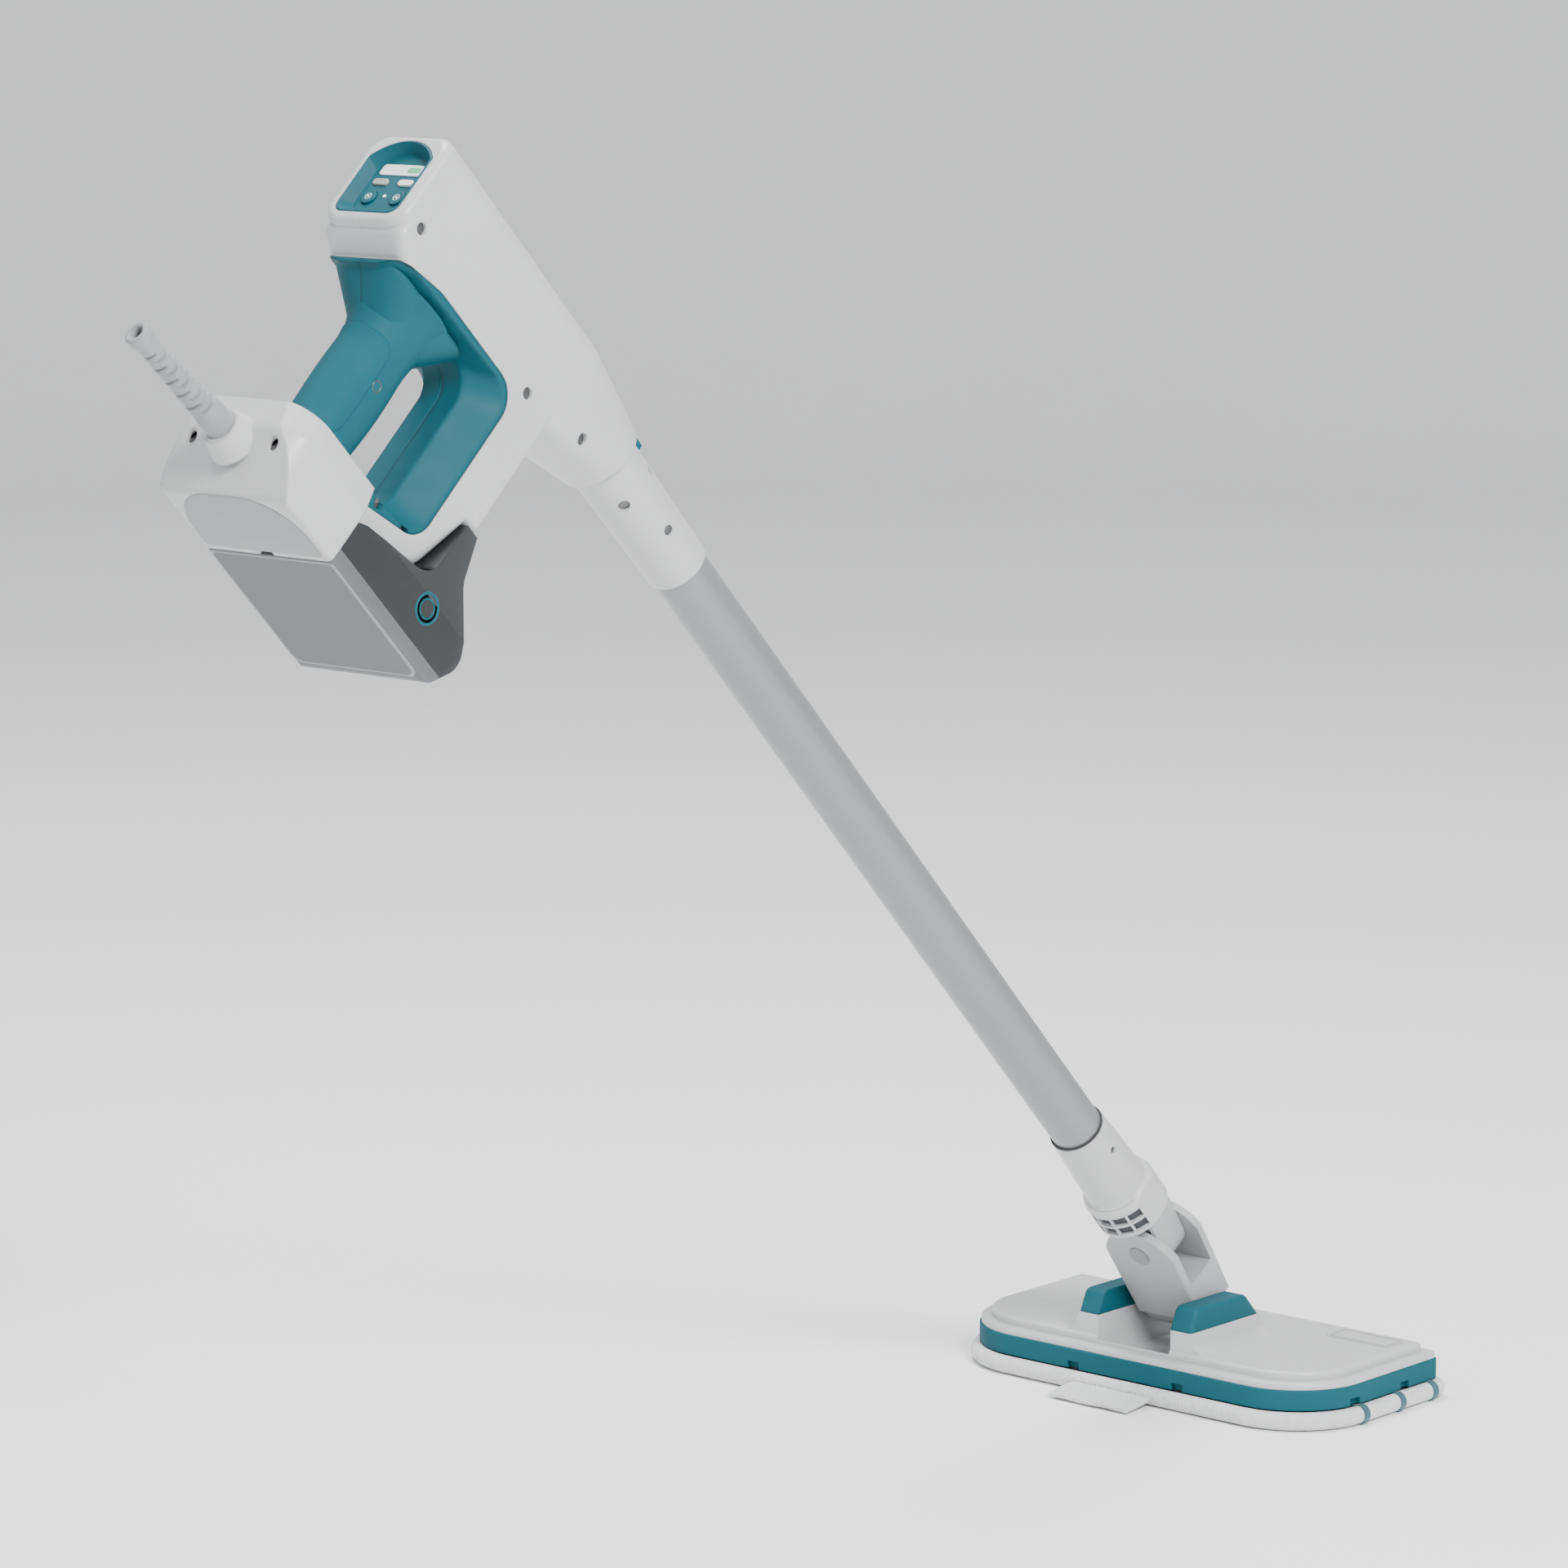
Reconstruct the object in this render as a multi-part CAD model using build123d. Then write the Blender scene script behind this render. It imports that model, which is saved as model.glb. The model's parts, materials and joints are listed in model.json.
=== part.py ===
from build123d import *
import os

# Steam mop: a steam head under a two-way hinge, an aluminium pole and a hand unit with a D handle,
# a control panel and a water tank that pulls off its underside.
# Millimetres. Origin: centre of the mop pad's underside on the floor. +X along the head's long
# side, -Y towards the user, +Z up. The model rests with the pole leaning towards the user.

# ---- overall sizes ----
PAD_LENGTH = 300.0
PAD_WIDTH = 149.0
PAD_THICKNESS = 9.0
TUBE_LENGTH = 600.0
TUBE_RADIUS = 16.5
TUBE_WALL = 1.0
CASE_HALF_WIDTH = 30.0
CASE_LENGTH = 224.0
CASE_WALL = 2.6

# ---- rest pose ----
YOKE_LEAN = 35.0
NECK_BEND = 8.66

# ---- clearances ----
RUN_FIT = 0.05
SEAT_GAP = 0.3
SWING_GAP = 3.5

# ---- pad ----
PAD_FRONT_RADIUS = 57.0
PAD_REAR_RADIUS = 12.0
PAD_ROLL = 2.5
TAB_LEFT = -37.0
TAB_RIGHT = 25.0
TAB_REACH = 24.0
TAB_THICKNESS = 5.0
BAND_PLACES = (-17.5, 21.0, 56.0)
BAND_WIDTH = 5.0
BAND_DEPTH = 9.0
BAND_THICKNESS = 1.2

# ---- head ----
PAD_OVERHANG = 6.0
HOOK_THICKNESS = 0.5
SOLE_THICKNESS = 3.0
SOLE_INSET = 5.0
STEAM_HOLE_RADIUS = 2.0
STEAM_HOLES = 8
BUMPER_HEIGHT = 12.6
BUMPER_WIDTH = 9.0
NOTCH_HALF = 4.5
NOTCH_HEIGHT = 4.5
LIP_INSET = 1.2
LIP_HEIGHT = 4.2
LIP_FILLET = 2.0
PLATEAU_INSET = 8.0
PLATEAU_RISE = 5.5
PLATEAU_FILLET = 2.4
SHELL_WALL = 2.6
SADDLE_THICKNESS = 16.0
SADDLE_SETBACK = 15.5
SADDLE_LENGTH = 71.0
SADDLE_FOOT = 8.0
CAP_HEIGHT = 14.5
CAP_FRONT_SLOPE = 6.5
CAP_REAR_SLOPE = 13.5
CAP_ROUND = 6.0
CAVITY_LIP_DROP = 2.4
CAVITY_RAMP = 34.0
BADGE_SIZE = (47.0, 21.0)
BADGE_THICKNESS = 0.5

# ---- two-way hinge ----
HINGE_Y = -2.84
HINGE_Z = 46.5
HINGE_PIN_RADIUS = 5.0
HINGE_PIN_REACH = 8.0
YOKE_LENGTH = 64.7
YOKE_HALF_WIDTH = 27.0
YOKE_FOOT_HALF = 25.0
YOKE_CROWN = 19.5
YOKE_HALF_DEPTH = 17.5
YOKE_EAR = 5.5
YOKE_FOOT_RADIUS = 12.0
YOKE_BLOCK_TOP = 38.0
YOKE_ROUND = 1.6
PIVOT_PIN_RADIUS = 4.5
PIVOT_CAP_RADIUS = 7.0
PIVOT_CAP_HEIGHT = 0.8
STEAM_BORE = 2.0
TONGUE_RADIUS = 16.0

# ---- pole, measured along its axis from the upper hinge pin ----
COLLAR_START = 28.5
COLLAR_LENGTH = 30.0
COLLAR_WALL = 7.5
CONNECTOR_LENGTH = 86.0
CONNECTOR_WALL_TOP = 1.5
CONNECTOR_WALL_FOOT = 3.9
CONNECTOR_FLOOR = 49.5
SEAL_RING_HEIGHT = 1.2
TUBE_SCREW_RADIUS = 2.0
SLEEVE_OVERLAP = 36.0
SLEEVE_LENGTH = 93.0
SLEEVE_WALL_FOOT = 2.0
SLEEVE_WALL_TOP = 3.6
SPIGOT_RADIUS = 13.0
SPIGOT_WALL = 2.5
SPIGOT_LENGTH = 48.0
HOSE_RADIUS = 4.0
HOSE_BORE = 2.5
RELEASE_LENGTH = 14.0
RELEASE_WIDTH = 14.0
RELEASE_RISE = 3.2
RELEASE_TRAVEL = 2.2

# ---- hand unit: z along the pole axis from the nose face, v square to it, towards the grip ----
NOSE_RADIUS = 24.5
NOSE_LENGTH = 60.0
CASE_TOP = 24.5
CASE_BELLY = 38.0
CASE_CORNER = 13.0
CASE_BACK_FILLET = 5.0
ARM_FRONT = 62.5
RING_FILLET = 7.0
HANDLE_TOP = 39.5
HANDLE_FRONT = 94.0
HANDLE_FLOOR = 144.0
HANDLE_REAR = 208.0
BASE_DROP = 161.4
DOCK_TOP = 113.0
DOCK_STEP = 73.0
DOCK_VALLEY = (160.0, 86.5)
DOCK_PEAK = (172.5, 142.0)
OPENING_FRONT = 113.0
OPENING_TOP = 49.0
OPENING_FLOOR = 142.0
OPENING_ROUND = 15.0
FLARE_START = 14.0
GRIP_CENTRE = 165.5
GRIP_HALF_WIDTH = 17.0
GRIP_HALF_DEPTH = 19.5
GRIP_WALL = 3.2
GRIP_NECK = 24.0
INLAY_TOP = 78.0
INLAY_FLOOR = 134.0
INLAY_DEPTH = 2.0
FACE_DROP = 203.0
FACE_FILLET = 3.0
HOOD_HALF_WIDTH = 47.0
HOOD_START = 148.0
HOOD_TOP = 153.0
HOOD_CORNER = 22.0
HOOD_SHOULDER = 34.0
TANK_CORNER = 9.0
TANK_WALL = 2.2
TANK_END_DEPTH = 9.0
FILTER_RADIUS = 9.0
PANEL_HALF_WIDTH = 23.5
PANEL_TOP = 19.5
PANEL_FOOT = 32.0
PANEL_DEPTH = 6.0
PANEL_RIM = 5.0
DISPLAY_V = -3.5
DISPLAY_SIZE = (30.0, 7.5)
KEY_TRAVEL = 0.8
KEY_GAP = 0.15
BAR_KEY = (9.2, 5.5, 5.4, 2.1)
ROUND_KEY = (10.3, 16.4, 4.8, 4.8)
STRIP_HALF_WIDTH = 18.0
STRIP_DEPTH = 1.0
STRIP_RISE = 0.5
SCREW_RADIUS = 3.4
SCREW_HEAD = 2.6
GLAND_V = 176.5
GLAND_RADIUS = 8.4
GLAND_TILT = 4.5
RELIEF_LENGTH = 98.0
CORD_RADIUS = 3.6
BOILER_RADIUS = 18.0
BOILER_START = 78.0
BOILER_LENGTH = 82.0
PUMP_HALF = 11.0
PUMP_TOP = 62.0
PUMP_LENGTH = 42.0
WATER_PIPE_RADIUS = 2.5
RIB = 2.4

# ---- values worked out from the sizes above ----
SOLE_LOW = PAD_THICKNESS + HOOK_THICKNESS
SOLE_TOP = SOLE_LOW + SOLE_THICKNESS
BUMPER_TOP = SOLE_TOP + BUMPER_HEIGHT
LIP_TOP = BUMPER_TOP + LIP_HEIGHT
PLATEAU_TOP = LIP_TOP + PLATEAU_RISE
SADDLE_TOP = HINGE_Z + 1.0
SADDLE_FRONT = -PAD_WIDTH / 2 + SADDLE_SETBACK
SADDLE_REAR = SADDLE_FRONT + SADDLE_LENGTH
CAVITY_HALF = YOKE_FOOT_HALF + SWING_GAP
CAVITY_LIP = PLATEAU_TOP - CAVITY_LIP_DROP
CAVITY_FLOOR = HINGE_Z - YOKE_FOOT_RADIUS - 13.5
CAVITY_REAR = HINGE_Y + YOKE_HALF_DEPTH + 12.0
SADDLE_OUT = CAVITY_HALF + SADDLE_THICKNESS
PIN_END = SADDLE_OUT - 3.0
EAR_GAP = YOKE_HALF_DEPTH - YOKE_EAR
COLLAR_RADIUS = TUBE_RADIUS + COLLAR_WALL
COLLAR_END = COLLAR_START + COLLAR_LENGTH
CONNECTOR_END = COLLAR_START + CONNECTOR_LENGTH
TUBE_START = COLLAR_START + CONNECTOR_FLOOR
TUBE_END = TUBE_START + TUBE_LENGTH
TUBE_SCREW_Z = (TUBE_START + CONNECTOR_END) / 2
SLEEVE_START = TUBE_END - SLEEVE_OVERLAP
SLEEVE_END = SLEEVE_START + SLEEVE_LENGTH
SLEEVE_RADIUS = TUBE_RADIUS + SLEEVE_WALL_TOP
NOSE_AT = SLEEVE_END + SEAT_GAP
SPIGOT_BORE = SPIGOT_RADIUS + RUN_FIT
SPIGOT_SEAT = SLEEVE_END - SPIGOT_LENGTH - 2.0
RELEASE_END = SLEEVE_END - 3.5
RELEASE_START = RELEASE_END - RELEASE_LENGTH
PANEL_FACE = CASE_LENGTH - PANEL_DEPTH
GLAND_ROOT = HANDLE_REAR - 9.0

HEAD_FRAME = Location((0, 0, 0))
YOKE_FRAME = Location((0, HINGE_Y, HINGE_Z), (YOKE_LEAN, 0, 0))
PIVOT_FRAME = YOKE_FRAME * Location((0, 0, YOKE_LENGTH))
BEND = Location((0, 0, 0), (NECK_BEND, 0, 0))
POLE_FRAME = PIVOT_FRAME * BEND
HAND_FRAME = POLE_FRAME * Location((0, 0, NOSE_AT))

os.makedirs("parts", exist_ok=True)


def save(name, shape, frame=HEAD_FRAME):
    """Write one named piece, or one group of like pieces, in the shared frame."""
    pieces = shape if isinstance(shape, list) else [shape]
    solids = [frame * solid for piece in pieces for solid in piece.solids()]
    export_step(solids[0] if len(solids) == 1 else Compound(children=solids), f"parts/{name}.step")


def block(x_range, y_range, z_range):
    """Box given by its lowest and highest value on each axis."""
    spans = (x_range, y_range, z_range)
    size = [high - low for low, high in spans]
    centre = [(low + high) / 2 for low, high in spans]
    return Pos(*centre) * Box(*size)


def span(side, near, far):
    """Range between two distances from the middle plane, on its -1 or +1 side."""
    return tuple(sorted((side * near, side * far)))


def rod(radius, z_range):
    """Round bar along Z."""
    low, high = z_range
    return Pos(0, 0, low) * Cylinder(radius, high - low, align=(Align.CENTER, Align.CENTER, Align.MIN))


def pipe(radius, bore, z_range):
    """Round tube along Z."""
    low, high = z_range
    return rod(radius, z_range) - rod(bore, (low - 1, high + 1))


def cross_rod(radius, x_range, y, z):
    """Round bar along X, its axis at y and z."""
    low, high = x_range
    return Pos((low + high) / 2, y, z) * Rot(0, 90, 0) * Cylinder(radius, high - low)


def drop_rod(radius, y_range, x, z):
    """Round bar along Y, its axis at x and z."""
    low, high = y_range
    return Pos(x, (low + high) / 2, z) * Rot(90, 0, 0) * Cylinder(radius, high - low)


def turned(points):
    """Solid of revolution about Z from (radius, z) points."""
    return revolve(make_face(Plane.XZ * Polyline(*points, close=True)), Axis.Z, 360)


def round_corners(face, corners, radii):
    """Face with the corner nearest to each point rounded by its radius."""
    for corner, radius in zip(corners, radii):
        if radius > 0:
            near = face.vertices().sort_by_distance(corner)[0]
            face = face.fillet_2d(radius, [near])
    return face


def side_outline(points, radii):
    """Face in the YZ plane from (v, z) points, v being -Y, with its corners rounded."""
    corners = [(-v, z) for v, z in points]
    face = make_face(Plane.YZ * Polyline(*corners, close=True)).face()
    return round_corners(face, [(0, y, z) for y, z in corners], radii)


def slab(face, half_width):
    """Face in the YZ plane thickened by half_width to both sides of X = 0."""
    return extrude(face, half_width, dir=(1, 0, 0), both=True)


def shrunk(face, inset):
    """Face with its outline moved in by inset."""
    return face if inset == 0 else offset(face, amount=-inset, kind=Kind.ARC).face()


def end_edges(shape, axis):
    """Edges of the two end faces of a slab."""
    faces = shape.faces().sort_by(axis)
    return faces[0].outer_wire().edges() + faces[-1].outer_wire().edges()


# ---------------------------------------------------------------- head

def head_outline(inset):
    """The head's plan outline: wide rounded corners in front, tight ones behind."""
    half_length = PAD_LENGTH / 2 - inset
    half_width = PAD_WIDTH / 2 - inset
    front = max(PAD_FRONT_RADIUS - inset, 4.0)
    rear = max(PAD_REAR_RADIUS - inset, 2.5)
    corners = ((-half_length, -half_width), (half_length, -half_width),
               (half_length, half_width), (-half_length, half_width))
    face = make_face(Polyline(*corners, close=True)).face()
    return round_corners(face, [(x, y, 0) for x, y in corners], (front, front, rear, rear))


def head_slab(inset, z_range):
    """The plan outline as a plate."""
    low, high = z_range
    return extrude(Pos(0, 0, low) * head_outline(inset), high - low, dir=(0, 0, 1))


def top_edges(shape):
    """Outer edges of the highest flat face."""
    return shape.faces().filter_by(Plane.XY).sort_by(Axis.Z)[-1].outer_wire().edges()


def mop_pad():
    """Microfibre pad, plain, with the grooves that its bands lie in."""
    pad = head_slab(0, (0, PAD_THICKNESS))
    pad = fillet(end_edges(pad, Axis.Z), PAD_ROLL)
    for band in pad_bands():
        pad -= band
    return pad


def pad_tab():
    """Folded fabric tab that the foot holds down to peel the pad off."""
    edge = -PAD_WIDTH / 2
    low = (PAD_THICKNESS - TAB_THICKNESS) / 2 - 0.8
    tab = block((TAB_LEFT, TAB_RIGHT), (edge - TAB_REACH, edge + PAD_ROLL), (low, low + TAB_THICKNESS))
    return tab - head_slab(0, (-1, PAD_THICKNESS + 1))


def pad_bands():
    """Three teal bands wrapped over the pad's right rim."""
    edge = PAD_LENGTH / 2
    bands = []
    for y in BAND_PLACES:
        wide = (y - BAND_WIDTH / 2, y + BAND_WIDTH / 2)
        outer = block((edge - BAND_DEPTH, edge), wide, (0, PAD_THICKNESS))
        inner = block((edge - BAND_DEPTH - 1, edge - BAND_THICKNESS), wide,
                      (BAND_THICKNESS, PAD_THICKNESS - BAND_THICKNESS))
        bands.append(outer - inner)
    return bands


def cavity_outline(lip_v, grow):
    """Side outline of the hinge's recess: a ramp up to a low lip, a flat floor and a rear wall."""
    top = SADDLE_TOP + CAP_HEIGHT + 20
    floor = CAVITY_FLOOR - grow
    lip = CAVITY_LIP - grow
    rear = -CAVITY_REAR - grow
    points = ((lip_v, lip), (lip_v, top), (rear, top), (rear, floor), (-SADDLE_FRONT - CAVITY_RAMP, floor),
              (-SADDLE_FRONT + 2, lip))
    return side_outline(points, (0, 0, 0, 4.0, 10.0, 0))


def saddle_blocks():
    """White blocks on both sides of the recess, each with a foot that slopes out to the plateau."""
    low = PLATEAU_TOP - 4
    points = ((CAVITY_HALF, low), (SADDLE_OUT + SADDLE_FOOT, low), (SADDLE_OUT + SADDLE_FOOT, PLATEAU_TOP),
              (SADDLE_OUT + 2, PLATEAU_TOP + 5), (SADDLE_OUT, SADDLE_TOP), (CAVITY_HALF, SADDLE_TOP))
    section = make_face(Plane.XZ * Polyline(*points, close=True))
    right = extrude(Pos(0, SADDLE_REAR, 0) * section, SADDLE_LENGTH, dir=(0, -1, 0))
    room = block((CAVITY_HALF + SHELL_WALL, SADDLE_OUT - SHELL_WALL),
                 (SADDLE_FRONT + SHELL_WALL, HINGE_Y - HINGE_PIN_RADIUS - SHELL_WALL),
                 (0, SADDLE_TOP - SHELL_WALL))
    return [right, mirror(right, Plane.YZ)], [room, mirror(room, Plane.YZ)]


def head_screw_places():
    """Four screws that draw the sole up against the shell."""
    x = PAD_LENGTH / 2 - 52
    y = PAD_WIDTH / 2 - 41
    return [(sx * x, sy * y) for sx in (-1, 1) for sy in (-1, 1)]


def head_shell():
    """White top shell: lip, plateau, saddle blocks and the recess's tub, hollow below."""
    lip = head_slab(PAD_OVERHANG + LIP_INSET, (BUMPER_TOP, LIP_TOP))
    lip = fillet(top_edges(lip), LIP_FILLET)
    plateau = head_slab(PAD_OVERHANG + PLATEAU_INSET, (BUMPER_TOP, PLATEAU_TOP))
    plateau = fillet(top_edges(plateau), PLATEAU_FILLET)
    skirt = head_slab(PAD_OVERHANG + BUMPER_WIDTH + RUN_FIT, (SOLE_TOP, BUMPER_TOP))
    blocks, rooms = saddle_blocks()
    outside = lip + plateau + skirt + blocks
    room = head_slab(PAD_OVERHANG + BUMPER_WIDTH + SHELL_WALL, (SOLE_TOP - 1, PLATEAU_TOP - SHELL_WALL))
    tub = slab(cavity_outline(-SADDLE_FRONT + 2, SHELL_WALL), CAVITY_HALF + SHELL_WALL)
    tub &= head_slab(PAD_OVERHANG + PLATEAU_INSET + 1, (SOLE_TOP + 1, PLATEAU_TOP - 1))
    shell = outside - room - rooms
    shell += tub
    shell -= slab(cavity_outline(PAD_WIDTH, 0), CAVITY_HALF)
    shell -= cross_rod(HINGE_PIN_RADIUS, (-PIN_END, PIN_END), HINGE_Y, HINGE_Z)
    for x, y in head_screw_places():
        shell += Pos(x, y, 0) * pipe(4.0, 1.5, (SOLE_TOP, PLATEAU_TOP - 1))
    return shell


def saddle_cap():
    """Teal cap over the right saddle block, narrower at its top."""
    top = SADDLE_TOP + CAP_HEIGHT
    points = ((-SADDLE_FRONT, SADDLE_TOP), (-SADDLE_REAR, SADDLE_TOP), (-SADDLE_REAR + CAP_REAR_SLOPE, top),
              (-SADDLE_FRONT - CAP_FRONT_SLOPE, top))
    cap = slab(side_outline(points, (0, 0, CAP_ROUND, CAP_ROUND)), SADDLE_THICKNESS / 2)
    cap = Pos(CAVITY_HALF + SADDLE_THICKNESS / 2, 0, 0) * cap
    outer = cap.faces().sort_by(Axis.X)[-1].edges().filter_by(lambda edge: edge.center().Z > SADDLE_TOP + 1)
    cap = fillet(outer, CAP_ROUND / 2)
    return cap - cross_rod(HINGE_PIN_RADIUS, (0, PIN_END), HINGE_Y, HINGE_Z)


def bumper_ring():
    """Soft teal band round the head, with small notches in its lower edge."""
    ring = head_slab(PAD_OVERHANG, (SOLE_TOP, BUMPER_TOP))
    ring = fillet(top_edges(ring), 1.0)
    ring -= head_slab(PAD_OVERHANG + BUMPER_WIDTH, (SOLE_TOP - 1, BUMPER_TOP + 1))
    half_length = PAD_LENGTH / 2 - PAD_OVERHANG
    half_depth = PAD_WIDTH / 2 - PAD_OVERHANG
    heights = (SOLE_TOP - 1, SOLE_TOP + NOTCH_HEIGHT)
    for x in (-41, 41):
        for y in (-half_depth, half_depth):
            ring -= block((x - NOTCH_HALF, x + NOTCH_HALF), (y - 3, y + 3), heights)
    for y in (-22, 30):
        for x in (-half_length, half_length):
            ring -= block((x - 3, x + 3), (y - NOTCH_HALF, y + NOTCH_HALF), heights)
    return ring


def sole_plate():
    """Dark plate under the head, with the steam holes."""
    plate = head_slab(PAD_OVERHANG + SOLE_INSET, (SOLE_LOW, SOLE_TOP))
    pitch = PAD_LENGTH * 0.7 / (STEAM_HOLES - 1)
    for index in range(STEAM_HOLES):
        x = (index - (STEAM_HOLES - 1) / 2) * pitch
        plate -= Pos(x, 0, 0) * rod(STEAM_HOLE_RADIUS, (SOLE_LOW - 1, SOLE_TOP + 1))
    for x, y in head_screw_places():
        plate -= Pos(x, y, 0) * rod(1.5, (SOLE_LOW - 1, SOLE_TOP + 1))
        plate -= Pos(x, y, 0) * rod(SCREW_RADIUS, (SOLE_LOW - 1, SOLE_LOW + SCREW_HEAD))
    return plate


def hook_strips():
    """Two strips of hook tape that hold the pad."""
    reach = PAD_LENGTH * 0.36
    y = PAD_WIDTH / 2 - 21
    heights = (PAD_THICKNESS, SOLE_LOW)
    return [block((-reach, reach), (side * y - 5, side * y + 5), heights) for side in (-1, 1)]


def head_screws():
    """Screws up through the sole."""
    screws = []
    for x, y in head_screw_places():
        head = rod(SCREW_RADIUS - RUN_FIT, (SOLE_LOW + 0.4, SOLE_LOW + SCREW_HEAD))
        shank = rod(1.5, (SOLE_LOW + SCREW_HEAD, SOLE_TOP + 9))
        screws.append(Pos(x, y, 0) * (head + shank))
    return screws


def steam_manifold():
    """Flat channel that spreads the steam over the holes in the sole."""
    high = CAVITY_FLOOR - SHELL_WALL - 0.5
    reach = PAD_LENGTH * 0.38
    body = block((-reach, reach), (-9, 9), (SOLE_TOP, high))
    return body - block((-reach + 1.5, reach - 1.5), (-7.5, 7.5), (SOLE_TOP - 1, high - 1.5))


def badge_plate():
    """Plain raised plate on the right of the plateau."""
    width, depth = BADGE_SIZE
    x = PAD_LENGTH / 2 - 46
    y = PAD_WIDTH / 2 - 31
    plan = Pos(x, y, PLATEAU_TOP) * RectangleRounded(width, depth, 3.0)
    return extrude(plan, BADGE_THICKNESS, dir=(0, 0, 1))


def hinge_pins():
    """Two stub pins that carry the yoke between the saddles, bored through for the steam."""
    inner = YOKE_FOOT_HALF - HINGE_PIN_REACH
    right = cross_rod(HINGE_PIN_RADIUS, (inner, PIN_END), HINGE_Y, HINGE_Z)
    right -= cross_rod(STEAM_BORE, (inner - 1, PIN_END + 1), HINGE_Y, HINGE_Z)
    return [right, mirror(right, Plane.YZ)]


# ---------------------------------------------------------------- two-way hinge

def ear_face():
    """Outline of an ear: straight sides that spread upwards, and a rounded crown."""
    low = YOKE_FOOT_RADIUS - 4
    sides = Polyline((-YOKE_HALF_WIDTH, YOKE_LENGTH), (-YOKE_FOOT_HALF, low), (YOKE_FOOT_HALF, low),
                     (YOKE_HALF_WIDTH, YOKE_LENGTH))
    crown = ThreePointArc((YOKE_HALF_WIDTH, YOKE_LENGTH), (0, YOKE_LENGTH + YOKE_CROWN),
                          (-YOKE_HALF_WIDTH, YOKE_LENGTH))
    return make_face(Plane.XZ * (sides + crown))


def yoke():
    """Clevis: round foot on the lower pins, a base block and two ears for the upper pin."""
    ear = extrude(ear_face(), YOKE_HALF_DEPTH, dir=(0, 1, 0), both=True)
    ear = fillet(end_edges(ear, Axis.Y), YOKE_ROUND)
    foot = cross_rod(YOKE_FOOT_RADIUS, (-YOKE_FOOT_HALF, YOKE_FOOT_HALF), 0, 0)
    reach = (-YOKE_FOOT_HALF, YOKE_FOOT_HALF)
    neck = block(reach, (-YOKE_FOOT_RADIUS, YOKE_FOOT_RADIUS), (0, YOKE_FOOT_RADIUS))
    slot = block((-60, 60), (-EAR_GAP, EAR_GAP), (YOKE_BLOCK_TOP, YOKE_LENGTH + 60))
    body = ear + neck + foot - slot
    body -= drop_rod(TONGUE_RADIUS + 2, (-EAR_GAP, EAR_GAP), 0, YOKE_LENGTH)
    body -= drop_rod(PIVOT_PIN_RADIUS, (-60, 60), 0, YOKE_LENGTH)
    for side in (-1, 1):
        reach = span(side, YOKE_FOOT_HALF - HINGE_PIN_REACH - 0.5, 60)
        body -= cross_rod(HINGE_PIN_RADIUS + RUN_FIT, reach, 0, 0)
    half = YOKE_FOOT_HALF - HINGE_PIN_REACH - 3
    return body - block((-half, half), (-EAR_GAP + 3, EAR_GAP - 3), (-4, YOKE_BLOCK_TOP - 5))


def pivot_pin():
    """Hollow pin through both ears and the tongue."""
    pin = drop_rod(PIVOT_PIN_RADIUS, (-YOKE_HALF_DEPTH, YOKE_HALF_DEPTH), 0, 0)
    return pin - drop_rod(STEAM_BORE, (-YOKE_HALF_DEPTH - 1, YOKE_HALF_DEPTH + 1), 0, 0)


def pivot_caps():
    """Round covers over the pin's two ends."""
    return [drop_rod(PIVOT_CAP_RADIUS, span(side, YOKE_HALF_DEPTH, YOKE_HALF_DEPTH + PIVOT_CAP_HEIGHT), 0, 0)
            for side in (-1, 1)]


def neck_tongue():
    """Ribbed tongue between the ears, square to the upper pin; its root meets the connector."""
    gap = EAR_GAP - SEAT_GAP
    eye = drop_rod(TONGUE_RADIUS, (-gap, gap), 0, 0)
    web = block((-TONGUE_RADIUS, TONGUE_RADIUS), (-gap, gap), (0, COLLAR_START + 6))
    body = eye + web
    for side in (-1, 1):
        body -= block((-TONGUE_RADIUS + 3, TONGUE_RADIUS - 3), span(side, gap - 2.5, gap + 1),
                      (9, COLLAR_START + 10))
    body -= drop_rod(PIVOT_PIN_RADIUS + RUN_FIT, (-60, 60), 0, 0)
    return body - BEND * block((-60, 60), (-60, 60), (COLLAR_START, COLLAR_START + 40))


# ---------------------------------------------------------------- pole

def lower_connector():
    """White connector that the tube seats in, with a stout windowed collar over the hinge."""
    foot = TUBE_RADIUS + CONNECTOR_WALL_FOOT
    top = TUBE_RADIUS + CONNECTOR_WALL_TOP
    body = turned(((0, COLLAR_START), (COLLAR_RADIUS - 3, COLLAR_START), (COLLAR_RADIUS, COLLAR_START + 3),
                   (COLLAR_RADIUS, COLLAR_END - 6), (COLLAR_RADIUS - 1, COLLAR_END - 3), (foot, COLLAR_END),
                   (top, CONNECTOR_END), (0, CONNECTOR_END)))
    for side in (-1, 1):
        body -= block(span(side, COLLAR_RADIUS - 2.2, 60), (-60, 60), (COLLAR_START - 1, COLLAR_END))
    body -= rod(TUBE_RADIUS, (TUBE_START, CONNECTOR_END + 1))
    body -= rod(HOSE_RADIUS, (COLLAR_START + 8, CONNECTOR_END))
    body -= rod(HOSE_BORE, (COLLAR_START - 1, CONNECTOR_END))
    body -= collar_windows()
    return body - cross_rod(TUBE_SCREW_RADIUS, (-60, 60), 0, TUBE_SCREW_Z)


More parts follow.
